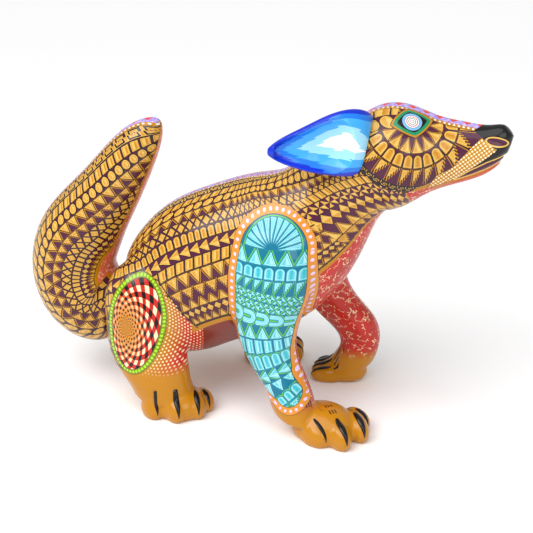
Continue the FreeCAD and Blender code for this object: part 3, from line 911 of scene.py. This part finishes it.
TOES = (
    Toe(48.5, -55.0, -36, 13.5), Toe(64.5, -52.5, -50, 15.5), Toe(74.5, -38.5, -52, 15.5),
    Toe(73.5, -27.0, -38, 12.5),
    Toe(39.0, 34.5, 188, 13.0), Toe(39.5, 40.5, 182, 14.5), Toe(39.5, 46.5, 178, 14.5),
    Toe(39.0, 52.5, 172, 13.0),
    Toe(-73.0, -48.5, -48, 11.5), Toe(-56.5, -46.5, -57, 14.0), Toe(-44.0, -37.5, -59, 14.0),
    Toe(-40.5, -27.5, -50, 12.0),
    Toe(-5.0, 49.0, 8, 13.0), Toe(1.0, 58.0, 18, 13.5), Toe(-1.0, 68.0, 28, 13.5),
    Toe(-12.0, 74.0, 44, 12.0),
)


def toe_fields(spots: np.ndarray) -> dict[str, np.ndarray]:
    """Where each vertex lies behind and beside the nearest toe's middle, mm."""
    behind = np.full(len(spots), 99.0)
    beside = np.full(len(spots), 99.0)
    best = np.full(len(spots), 1e9)
    for toe in TOES:
        gap = spots[:, :2] - np.array([toe.x, toe.y])
        back = -(gap @ toe.ahead)
        off = gap @ np.array([-toe.ahead[1], toe.ahead[0]])
        reach = np.abs(off) + 0.15 * np.abs(back)
        take = (reach < best) & (back > -toe.reach) & (back < 30) & (np.abs(off) < 9)
        behind[take], beside[take], best[take] = back[take], off[take], reach[take]
    return {"toe_behind": behind, "toe_beside": beside}


class TrunkSkin:
    """Trunk, head and legs under one coat of paint."""

    PITCH = 1.35            # size of the skin's squares, mm
    CHECKER_TURNS = 26.0    # checker cells once around the thigh
    CHECKER_RINGS = 8.0     # rings of cells in each e-fold of the radius
    HIP_DOTS = (2.5, 2.1)   # spacing of the hip's dots along and across their rows, mm
    TICK_PITCH = 2.1        # spacing of the ticks behind a claw, mm
    TICK_ROWS = ((6.6, 1.8), (13.2, 1.6))   # place behind a toe's middle, half length, mm
    TICK_HEIGHTS = (18.0, 12.0)             # middle and half span of heights with ticks, mm

    def __init__(self) -> None:
        source = merged_copy(TRUNK_NODES)
        self.piece = even_skin("painted_trunk", source, self.PITCH)
        self.sand_joints()
        self.carve_mouth()
        self.spots = spots_of(self.piece)
        self.normals = normals_of(self.piece)
        self.measure()
        finishes = (self.coat(), self.panel(), self.thigh(), self.face(), self.skin())
        for finish in finishes:
            self.piece.data.materials.append(finish)
        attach(self.piece, "carving")
        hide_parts(*TRUNK_NODES)
        LOG.info("trunk skin: %d faces", len(self.piece.data.polygons))

    def sand_joints(self) -> None:
        """Blend the legs into the trunk, as filler and sandpaper do."""
        trees = []
        for group in (("torso_and_head",), LEG_NODES):
            mesh = merged_copy(group)
            trees.append(BVHTree.FromBMesh(mesh))
            mesh.free()
        vertices = self.piece.data.vertices
        gap = np.array([[tree.find_nearest(v.co)[3] for tree in trees] for v in vertices]) / MM
        height = spots_of(self.piece)[:, 2]
        near = gap.max(1)
        for reach, passes in ((11.0, 14), (7.0, 22), (4.0, 20)):
            soften(self.piece, (near < reach) & (height > 26), passes, 0.5)
        soften(self.piece, height > 2.0, 3, 0.5)

    def carve_mouth(self) -> None:
        """Press the line of the mouth and the nostrils into the muzzle."""
        spots = spots_of(self.piece)
        mouth, _ = Outline.polygon(LIPS).measure(spots[:, [0, 2]])
        nostril, _ = Outline.oval(*NOSTRIL).measure(spots[:, [0, 2]])
        depth = (0.9 * ramp(-np.abs(mouth - 0.3), -1.8, 0.0)
                 + 1.1 * ramp(-nostril, -0.5, 2.0)) * (spots[:, 0] > 128)
        moved = np.array([v.co for v in self.piece.data.vertices])
        moved -= normals_of(self.piece) * depth[:, None] * MM
        self.piece.data.vertices.foreach_set("co", moved.ravel())
        self.piece.data.update()

    def patch(self, outlines: dict[float, Outline], reach: float) -> tuple:
        """Signed distance to the outline of each side, kept to surfaces that face outwards."""
        distance = np.full(len(self.spots), 60.0)
        around = np.zeros(len(self.spots))
        for side, outline in outlines.items():
            flat, arc = outline.measure(self.spots[:, [0, 2]])
            facing = self.normals[:, 1] * side
            full = np.maximum(flat, (0.12 - facing) * reach)
            mine = self.spots[:, 1] * side > 0
            distance[mine], around[mine] = full[mine], arc[mine]
        return distance, around

    def measure(self) -> None:
        """Work out every field that the finishes read, and which finish each face has."""
        spots = self.spots
        side = np.where(spots[:, 1] < 0, RIGHT, LEFT)
        body = body_fields(spots)
        panel, panel_arc = self.patch(
            {s: Outline.paddle(PANEL_AXES[s]) for s in (RIGHT, LEFT)}, 55.0)
        thigh, thigh_arc = self.patch(
            {s: Outline.oval(*THIGHS[s]) for s in (RIGHT, LEFT)}, 50.0)
        down = np.zeros(len(spots))
        across = np.zeros(len(spots))
        disc_x = np.zeros(len(spots))
        disc_z = np.zeros(len(spots))
        hip = np.zeros(len(spots))
        for s in (RIGHT, LEFT):
            mine = side == s
            along, over, _ = Axis(PANEL_AXES[s]).project(spots[mine][:, [0, 2]])
            down[mine], across[mine] = along + PANEL_AXES[s][0][2], over
            middle, half, _ = THIGHS[s]
            disc_x[mine] = (spots[mine, 0] - middle[0]) / half[0]
            disc_z[mine] = (spots[mine, 2] - middle[1]) / half[1]
            hip[mine] = np.maximum.reduce([line_side(spots[mine], HIP_LINES[s]),
                                           spots[mine, 2] - 103.0,
                                           middle[0] + 5.0 - spots[mine, 0]])
        eye = np.stack([spots - EYE[s] for s in (RIGHT, LEFT)])[(side > 0).astype(int),
                                                               np.arange(len(spots))]
        mirror = np.stack([np.ones(len(spots)), -side, np.ones(len(spots))], 1)
        eye = eye * mirror
        eye_x, eye_y = eye @ EYE_ALONG, eye @ EYE_UP
        radius = np.linalg.norm(eye, axis=1)
        shapes = {"dots": DOT_PANEL, "nose": NOSE, "lips": LIPS}
        flat = {name: Outline.polygon(corners).measure(spots[:, [0, 2]])[0]
                for name, corners in shapes.items()}
        nostril = Outline.oval(*NOSTRIL).measure(spots[:, [0, 2]])[0]
        store(self.piece, {
            "along": body["along"], "around": body["around"], "girth": body["girth"],
            "ridge": body["ridge"],
            "station": body["station"], "panel": panel, "panel_arc": panel_arc,
            "down": down, "across": across, "thigh": thigh, "thigh_arc": thigh_arc,
            "disc_x": disc_x, "disc_z": disc_z, "hip": hip,
            "eye": radius, "eye_x": eye_x, "eye_y": eye_y, "nostril": nostril,
            "side_x": spots[:, 0], "height": spots[:, 2],
            "angle": body["angle"], **flat, **toe_fields(spots),
        })
        station = body["station"]
        face = (station > 236) & ((radius < 45.6) | (spots[:, 0] > 116))
        coat = (body["around"] < MARGIN + 1.6) & (hip > 0.4)
        zone = np.full(len(spots), Zone.SKIN.value)
        zone[coat] = Zone.COAT.value
        zone[face] = Zone.FACE.value
        zone[(panel < -3.0)] = Zone.PANEL.value
        zone[(thigh < -2.0)] = Zone.THIGH.value
        zone_faces(self.piece, zone)

    def borders(self, g: Graph, colour: Colour) -> bpy.types.NodeSocket:
        """Lay the dotted borders of the shoulder panel and of the thigh over a colour."""
        colour = dotted_strip(g, colour, g.field("panel") * -1.0, g.field("panel_arc"),
                              5.6, Pot.BORDER, Pot.LILAC, 4.9, 1.15)
        return dotted_strip(g, colour, g.field("thigh") * -1.0, g.field("thigh_arc"),
                            3.4, Pot.MOSS, Pot.BRIGHT_LIME, 2.9, 0.95)

    def coat(self) -> bpy.types.Material:
        """Rows of gold motifs on plum along the back, flanks and neck."""
        g = Graph("acrylic gold rows on plum under gloss varnish")
        x, y = g.field("along"), g.field("around")
        flank = lay_rows(g, FLANK_ROWS, x, y, FLANK_START)
        neck = lay_rows(g, NECK_ROWS, x, y, NECK_START)
        ahead = (g.field("station") > NECK_FROM) * (y > NECK_START)
        body, tone, ground = (g.pick(ahead, flank[i], neck[i]) for i in range(3))
        colour = colour_rows(g, EARTH, body, tone, ground)
        colour = g.blend(abs(y - MARGIN) < 0.4, colour, Pot.LINE.linear)
        colour = g.blend(y > MARGIN + 0.4, colour, Pot.OCHRE.linear)
        colour = g.blend(abs(g.field("hip") - 0.9) < 0.5, colour, Pot.LINE.linear)
        colour = crest(g, colour, g.field("ridge"), x, 0.58)
        return g.varnish(self.borders(g, colour))

    def panel(self) -> bpy.types.Material:
        """Turquoise and lime rows on the shoulder and foreleg."""
        g = Graph("acrylic turquoise rows under gloss varnish")
        x, y = g.field("across"), g.field("down")
        body, tone, ground, _ = lay_rows(g, PANEL_ROWS, x, y, 6.5)
        colour = colour_rows(g, WATER, body, tone, ground)
        return g.varnish(self.borders(g, colour), 0.36)

    def thigh(self) -> bpy.types.Material:
        """Spiral checker of red, cream and black on the thigh."""
        g = Graph("acrylic spiral checker under gloss varnish")
        x, y = g.field("disc_x") + 0.30, g.field("disc_z") + 0.06
        reach = x.reach(y).high(0.02)
        turn = g.math("ARCTAN2", y, x) * (1 / math.tau)
        wind = g.math("LOGARITHM", reach + 0.12, math.e)
        one = turn * self.CHECKER_TURNS + wind * self.CHECKER_RINGS
        two = turn * self.CHECKER_TURNS - wind * self.CHECKER_RINGS
        row = g.math("FLOOR", one)
        column = g.math("FLOOR", two)
        odd = g.math("PINGPONG", row + column, 1.0)
        fire = g.blend((reach - 0.25) * 2.0, Pot.BORDER.linear, Pot.RED.linear)
        pale = g.blend((reach - 0.25) * 2.0, Pot.OCHRE.linear, Pot.CREAM.linear)
        plain = g.blend(g.math("PINGPONG", row, 1.0), pale, Pot.BLACK.linear)
        colour = g.blend(odd, plain, fire)
        return g.varnish(self.borders(g, colour), 0.36)

    def face(self) -> bpy.types.Material:
        """Rows around the eye, crest, nose, mouth and cheek."""
        g = Graph("acrylic face under gloss varnish")
        eye_x, eye_y = g.field("eye_x"), g.field("eye_y")
        reach = g.field("eye")
        turn = g.math("ARCTAN2", eye_x, eye_y * -1.0)
        rings = lay_rows(g, FACE_ROWS, turn * 26.0, reach, FACE_START)
        girth = g.field("girth")
        top = lay_rows(g, CROWN_ROWS, g.field("along"), girth, 12.0)
        crown = (girth < 44.0) * (g.field("side_x") < 91.0)
        body, tone, ground = (g.pick(crown, one, two) for one, two in
                              zip(rings[:3], top[:3]))
        colour = colour_rows(g, EARTH, body, tone, ground)
        colour = g.blend((reach > 41.4) * (g.field("side_x") > 112.0), colour, Pot.PLUM.linear)
        jaw = g.field("angle")
        chin = g.blend((jaw - 2.45) * 3.2, Pot.OCHRE.linear, Pot.RED.linear)
        colour = g.blend((jaw > 2.22) * (reach > 36.0), colour, chin)
        dots = g.field("dots")
        grid_x = (g.field("side_x") * 0.78 + g.field("height") * 0.62).tile(2.1)
        grid_y = (g.field("height") * 0.78 - g.field("side_x") * 0.62).tile(2.1)
        cheek = g.blend(grid_x.reach(grid_y) < 0.68,
                        Pot.OCHRE.linear, Pot.CREAM.linear)
        colour = g.blend(dots < 0.3, colour, Pot.LINE.linear)
        colour = g.blend(dots < 0.0, colour, cheek)
        colour = crest(g, colour, g.field("ridge"), g.field("side_x"), 1.0)
        colour = g.blend(g.field("nose") < 0.0, colour, Pot.BLACK.linear)
        lips = g.field("lips")
        colour = g.blend(lips < 0.5, colour, Pot.GOLD.linear)
        colour = g.blend(lips < -0.3, colour, Pot.PLUM.linear)
        nostril = g.field("nostril")
        colour = g.blend(nostril < 0.2, colour, Pot.GOLD.linear)
        colour = g.blend(nostril < -0.7, colour, Pot.PLUM.linear)
        return g.varnish(self.eye(g, colour, eye_x, eye_y))

    def eye(self, g: Graph, colour: Colour, x: Signal, y: Signal) -> bpy.types.NodeSocket:
        """Lay the almond lid and the ringed eye over a colour."""
        wide, tall = EYE_HALF
        one = g.math("POWER", abs(x) * (1 / wide), 1.3)
        two = g.math("POWER", abs(y - 0.9) * (1 / tall), 1.3)
        almond = g.math("POWER", one + two, 1 / 1.3)
        ball = (x * x + (y - 0.9) * (y - 0.9)).root()
        near = g.field("eye") < 22.0
        for edge, pot in ((1.08, Pot.LINE), (1.04, Pot.OCHRE), (0.93, Pot.GREEN),
                          (0.74, Pot.BLACK)):
            colour = g.blend((almond < edge) * near, colour, pot.linear)
        for edge, pot in ((6.9, Pot.LINE), (6.5, Pot.RING), (4.9, Pot.LINE), (4.6, Pot.WHITE),
                          (4.0, Pot.ROSE), (3.2, Pot.PEARL), (2.5, Pot.LINE), (2.1, Pot.PEARL),
                          (1.3, Pot.ROSE), (0.8, Pot.WHITE)):
            colour = g.blend((ball < edge) * near, colour, pot.linear)
        return colour

    def skin(self) -> bpy.types.Material:
        """Belly, chest and legs: coral strokes on red, a belly darkened with painted shade, dots
        at the hip, ochre paws.
        """
        g = Graph("acrylic coral and ochre paws under gloss varnish")
        height = g.field("height")
        side_x = g.field("side_x")
        # painted shade: the belly is a dark red-brown that stands for the shade under the body,
        # fading to the red chest paint towards the front; the mottle adds random blotches of that
        # same dark
        belly = g.blend((side_x + 10.0) * 0.025, Pot.RUST_SHADE.linear, Pot.RED.linear)
        mottle = g.blend((g.noise(14.0) - 0.40) * 1.2, belly, Pot.RUST_SHADE.linear)
        colour = g.blend(g.coral(6.0) * (side_x > 4.0), mottle, Pot.CREAM.linear)
        hind = (side_x < -28.0) * (g.field("thigh") < 25.0)
        rim = g.field("thigh") * 0.080 - 0.15
        hip = g.blend(rim.high(0.0).low(1.0), Pot.OCHRE.linear, Pot.RED.linear)
        ring = g.field("thigh")
        pitch, gap = self.HIP_DOTS
        slip = g.math("FLOOR", ring * (1 / gap) + 0.5) * (pitch / 2)
        dot_x = (g.field("thigh_arc") + slip).tile(pitch)
        dot_y = ring.tile(gap)
        dots = dot_x.reach(dot_y) < 0.58
        hip = g.blend(dots, hip, Pot.CREAM.linear)
        colour = g.blend(hind, colour, hip)
        paw_line = 38.0 - (side_x > -30.0) * 12.0
        fade = (paw_line - height) * 0.10 + 0.55
        colour = g.blend(fade, colour, Pot.OCHRE.linear)
        beside = abs(g.field("toe_beside"))
        behind = g.field("toe_behind")
        middle, half = self.TICK_HEIGHTS
        bars = (beside.zigzag(self.TICK_PITCH) < 0.48) * (beside < 3.0)
        bars = bars * (abs(height - middle) < half)
        first, second = (abs(behind - place) < reach for place, reach in self.TICK_ROWS)
        colour = g.blend(bars * (first + second), colour, Pot.LINE.linear)
        margin = g.field("around") - MARGIN
        colour = g.blend((margin < 4.2) * (height > 40.0) * (side_x > -44.0), colour,
                         Pot.OCHRE.linear)
        return g.varnish(self.borders(g, colour))


class Claws:
    """Black teardrop claws that stand proud of the toes."""

    RING = 12
    AHEAD, ABOVE = 24.0, 44.0       # where the rays that find a toe's top start, mm

    def __init__(self, skin: bpy.types.Object) -> None:
        mesh = bmesh.new()
        tree = BVHTree.FromObject(skin, bpy.context.evaluated_depsgraph_get())
        for toe in TOES:
            self.add_claw(mesh, tree, toe)
        bmesh.ops.recalc_face_normals(mesh, faces=mesh.faces)
        data = bpy.data.meshes.new("claws")
        mesh.to_mesh(data)
        mesh.free()
        data.polygons.foreach_set("use_smooth", [True] * len(data.polygons))
        piece = bpy.data.objects.new("claws", data)
        bpy.context.scene.collection.objects.link(piece)
        g = Graph("black enamel claws")
        cloud = g.blend(g.noise(3.0) * 0.35, Pot.BLACK.linear, Pot.LINE.linear)
        data.materials.append(g.varnish(cloud, 0.3))
        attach(piece, "carving")
        LOG.info("claws: %d", len(TOES))

    def add_claw(self, mesh: bmesh.types.BMesh, tree: BVHTree, toe: Toe) -> None:
        """Loft one claw along the top of its toe."""
        rings = []
        side = np.array([-toe.ahead[1], toe.ahead[0]])
        for t in np.linspace(0.0, 1.0, 14):
            reach = toe.reach * (-0.72 + 1.60 * t) + self.AHEAD
            spot = np.array([toe.x, toe.y]) + toe.ahead * reach
            slant = Vector((*(toe.ahead * -self.AHEAD), -self.ABOVE)).normalized()
            top, normal = tree.ray_cast(SHIFT.to_frame((*spot, self.ABOVE)), slant)[:2]
            if top is None or top.z > 26.0 * MM:
                continue
            wide = toe.reach * 0.155 * math.sin(math.pi * min(1.0, 0.06 + 0.94 * t) ** 0.75) ** 0.8
            rings.append((top, normal, max(wide, 0.12)))
        loops = []
        for top, normal, wide in rings:
            loop = []
            for k in range(self.RING):
                turn = math.tau * k / self.RING
                off = side * wide * math.cos(turn)
                lift = wide * 0.55 * math.sin(turn) - 0.1
                shift = Vector((off[0], off[1], 0.0)) + normal * lift
                loop.append(mesh.verts.new(top + shift * MM))
            loops.append(loop)
        for one, two in zip(loops, loops[1:]):
            for k in range(self.RING):
                after = (k + 1) % self.RING
                mesh.faces.new((one[k], one[after], two[after], two[k]))
        mesh.faces.new(loops[0])
        mesh.faces.new(loops[-1])


# ---------------------------------------------------------------------------
# Tail and ears
# ---------------------------------------------------------------------------

TAIL_AXIS = ((-112, 61, 26.5), (-128, 60.5, 30.5), (-141, 69, 32.6), (-148.5, 90, 32),
             (-142.5, 115, 30.8), (-129.5, 136, 27), (-116, 155, 23), (-104, 173, 19.6),
             (-93, 189, 15.6), (-84, 200, 10.2), (-77.8, 206.8, 3))
TAIL_START = 8.2
TAIL_ROWS = (
    Row(meander, 9.6, 10.4),
    Row(bricks, 8.0, 6.6, 0.5),
    Row(leaves, 7.6, 6.4, 0.4),
    Row(triangles, 8.4, 8.4, ground=1.0),
    Row(stairs, 7.0, 7.8, ground=1.0),
    Row(lattice, 8.0, 6.8),
    Row(bricks, 6.4, 4.6, 0.1),
    Row(diamonds, 5.6, 5.4),
    Row(drops, 5.0, 5.4, ground=1.0),
)


class TailSkin:
    """The tail, painted in rows from its outer ridge to its inner face."""

    def __init__(self) -> None:
        self.piece = even_skin("painted_tail", merged_copy(("tail",)), 1.25)
        spots = spots_of(self.piece)
        axis = Axis(TAIL_AXIS)
        along, over, radius = axis.project(spots[:, [0, 2]])
        angle = np.arctan2(np.abs(spots[:, 1]) / 0.92, over)
        store(self.piece, {"along": along, "ridge": angle * radius * 0.95, "inner": angle})
        zone_faces(self.piece, np.zeros(len(spots), int))
        self.piece.data.materials.append(self.finish())
        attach(self.piece, "tail")
        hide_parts("tail")
        LOG.info("tail skin: %d faces", len(self.piece.data.polygons))

    def finish(self) -> bpy.types.Material:
        """Gold rows on plum, salmon on the inner face."""
        g = Graph("acrylic tail rows under gloss varnish")
        x, y = g.field("along"), g.field("ridge")
        body, tone, ground, end = lay_rows(g, TAIL_ROWS, x, y, TAIL_START)
        colour = colour_rows(g, EARTH, body, tone, ground)
        inner = g.field("inner")
        fold = (y > end).high(inner > 2.72)
        colour = g.blend(fold, colour, Pot.OCHRE.linear)
        face = (y > end + 3.0) * (inner > 2.2)
        face = face.high(inner > 2.85)
        colour = g.blend(face, colour, Pot.SALMON.linear)
        colour = g.blend(face * g.coral(4.6), colour, Pot.CREAM.linear)
        colour = crest(g, colour, y, x, 1.0)
        return g.varnish(colour)


# the leaf of an ear: x, z and half height from its root to its tip
EAR_LEAF = ((78, 203, 14), (64, 210, 22.5), (51.5, 209.5, 20.4), (39, 207.5, 16.2),
            (26, 205.8, 10.8), (17, 204.8, 6), (11.8, 204.2, 1.4))
EAR_ROOT = (64.0, 210.0)
EAR_DROOP = {RIGHT: 0.0, LEFT: 52.0}
EAR_LOWER = {RIGHT: 0.0, LEFT: 16.0}


class EarSkin:
    """One ear: a hollow leaf, blue inside and ochre behind."""

    def __init__(self, node: str, side: float) -> None:
        self.piece = even_skin("painted_" + node, merged_copy((node,)), 0.45)
        spots = spots_of(self.piece)
        normals = normals_of(self.piece)
        turn = math.radians(EAR_DROOP[side])
        gap_x = spots[:, 0] - EAR_ROOT[0]
        gap_z = spots[:, 2] - (EAR_ROOT[1] - EAR_LOWER[side])
        flat = np.stack([
            EAR_ROOT[0] + gap_x * math.cos(turn) - gap_z * math.sin(turn),
            EAR_ROOT[1] + gap_x * math.sin(turn) + gap_z * math.cos(turn)], 1)
        distance, _ = Outline.paddle(EAR_LEAF).measure(flat)
        station, over, half = Axis(EAR_LEAF).project(flat)
        store(self.piece, {
            "rim": -distance, "station": station, "over": over / np.maximum(half, 1.0),
            "inside": normals[:, 1] * side,
        })
        zone_faces(self.piece, np.zeros(len(spots), int))
        self.piece.data.materials.append(self.finish(node))
        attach(self.piece, node)
        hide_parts(node)
        LOG.info("%s skin: %d faces", node, len(self.piece.data.polygons))

    def finish(self, node: str) -> bpy.types.Material:
        """Blues from the rim to a white middle, laid in long strokes."""
        g = Graph(f"acrylic blues of {node} under gloss varnish")
        station, over = g.field("station"), g.field("over")
        streak = (g.math("SINE", over * 31.0) * 0.5 + g.math("SINE", over * 57.0 + 1.3) * 0.4)
        depth = g.field("rim") + streak * (0.35 + g.noise(7.0) * 0.9)
        depth = depth - station * 0.05 + 2.0
        colour: Colour = Pot.ROYAL.linear
        for edge, pot in ((3.2, Pot.AZURE), (6.4, Pot.SKY), (11.4, Pot.MIST), (16.6, Pot.WHITE)):
            colour = g.blend(depth > edge, colour, pot.linear)
        rim = g.field("rim") < 1.0
        colour = g.blend(rim, colour, Pot.ROYAL.linear)
        back = g.blend(g.noise(5.0), Pot.OCHRE.linear, Pot.GOLD.linear)
        colour = g.blend(g.field("inside") < -0.05, colour, back)
        return g.varnish(colour, 0.32)


class Tenons:
    """Bare sanded pegs that tail and ears slide on."""

    NODES = ("tail_tenon", "ear_right_tenon", "ear_left_tenon")

    def __init__(self) -> None:
        g = Graph("bare sanded copal wood")
        grain = g.add("ShaderNodeTexWave", {"wave_type": "BANDS", "bands_direction": "Y"},
                      {"Vector": g.place(), "Scale": 0.35, "Distortion": 3.0, "Detail": 3.0})
        tone = Signal(g, grain.outputs["Fac"]) * 0.7 + g.noise(1.0) * 0.3
        colour = g.blend(tone, paint("C9A36C"), paint("E8CF9E"))
        g.surface({"Base Color": colour, "Roughness": 0.68, "IOR": 1.5})
        for name in self.NODES:
            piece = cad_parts[name]
            piece.data.materials.clear()
            piece.data.materials.append(g.material)
        LOG.info("tenons: %d", len(self.NODES))


# ---------------------------------------------------------------------------
# Studio
# ---------------------------------------------------------------------------

class Studio:
    """A white sweep, soft boxes and the camera."""

    TARGET = (0.0, 0.0, 105.0)
    CAMERA = (202.5, -755.8, 437.1)
    LENS = 80.4

    def __init__(self) -> None:
        self.floor()
        self.world()
        self.sky((-30, -60, 100), 1.75)
        self.soft_box("key", (-420, -520, 760), (0.55, 0.4), 2.6)
        self.soft_box("front", (560, -640, 520), (0.35, 0.5), 1.6)
        self.camera()
        scene = bpy.context.scene
        scene.view_settings.view_transform = "Standard"
        scene.view_settings.look = "None"
        LOG.info("studio ready")

    def floor(self) -> None:
        """A wide matt white sheet."""
        mesh = bmesh.new()
        bmesh.ops.create_grid(mesh, x_segments=2, y_segments=2, size=6.0)
        data = bpy.data.meshes.new("floor")
        mesh.to_mesh(data)
        mesh.free()
        piece = bpy.data.objects.new("floor", data)
        bpy.context.scene.collection.objects.link(piece)
        g = Graph("matt white paper")
        tint = g.blend(g.noise(400.0) * 0.02, paint("FFFFFF"), paint("F2F4F6"))
        g.surface({"Base Color": tint, "Roughness": 0.9, "Specular IOR Level": 0.1})
        data.materials.append(g.material)

    def world(self) -> None:
        """Even white light from everywhere."""
        world = bpy.data.worlds.new("white room")
        world.use_nodes = True
        background = world.node_tree.nodes["Background"]
        background.inputs["Color"].default_value = (1.0, 1.0, 1.0, 1.0)
        background.inputs["Strength"].default_value = 0.50
        bpy.context.scene.world = world

    def sky(self, toward: Sequence[float], power: float) -> None:
        """A very wide soft lamp over the whole table."""
        light = bpy.data.lights.new("overhead", "SUN")
        light.angle = math.radians(60)
        light.energy = power
        lamp = bpy.data.objects.new("overhead", light)
        lamp.rotation_euler = Vector(toward).to_track_quat("Z", "Y").to_euler()
        bpy.context.scene.collection.objects.link(lamp)

    def soft_box(self, name: str, spot: Sequence[float], size: Sequence[float],
                 power: float) -> None:
        """A rectangular lamp that looks at the carving."""
        light = bpy.data.lights.new(name, "AREA")
        light.shape = "RECTANGLE"
        light.size, light.size_y = size
        light.energy = power
        lamp = bpy.data.objects.new(name, light)
        lamp.location = SHIFT.to_frame(spot)
        aim = SHIFT.to_frame(self.TARGET) - lamp.location
        lamp.rotation_euler = aim.to_track_quat("-Z", "Y").to_euler()
        bpy.context.scene.collection.objects.link(lamp)

    def camera(self) -> None:
        """A long lens a little above the carving, in front of its right shoulder."""
        data = bpy.data.cameras.new("camera")
        data.lens = self.LENS
        data.sensor_width = 36.0
        eye = bpy.data.objects.new("camera", data)
        eye.location = SHIFT.to_frame(self.CAMERA)
        aim = SHIFT.to_frame(self.TARGET) - eye.location
        eye.rotation_euler = aim.to_track_quat("-Z", "Y").to_euler()
        bpy.context.scene.collection.objects.link(eye)
        bpy.context.scene.camera = eye


def main() -> None:
    """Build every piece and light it."""
    trunk = TrunkSkin()
    Claws(trunk.piece)
    TailSkin()
    EarSkin("ear_right", RIGHT)
    EarSkin("ear_left", LEFT)
    Tenons()
    Studio()


if __name__ == "__main__":
    main()
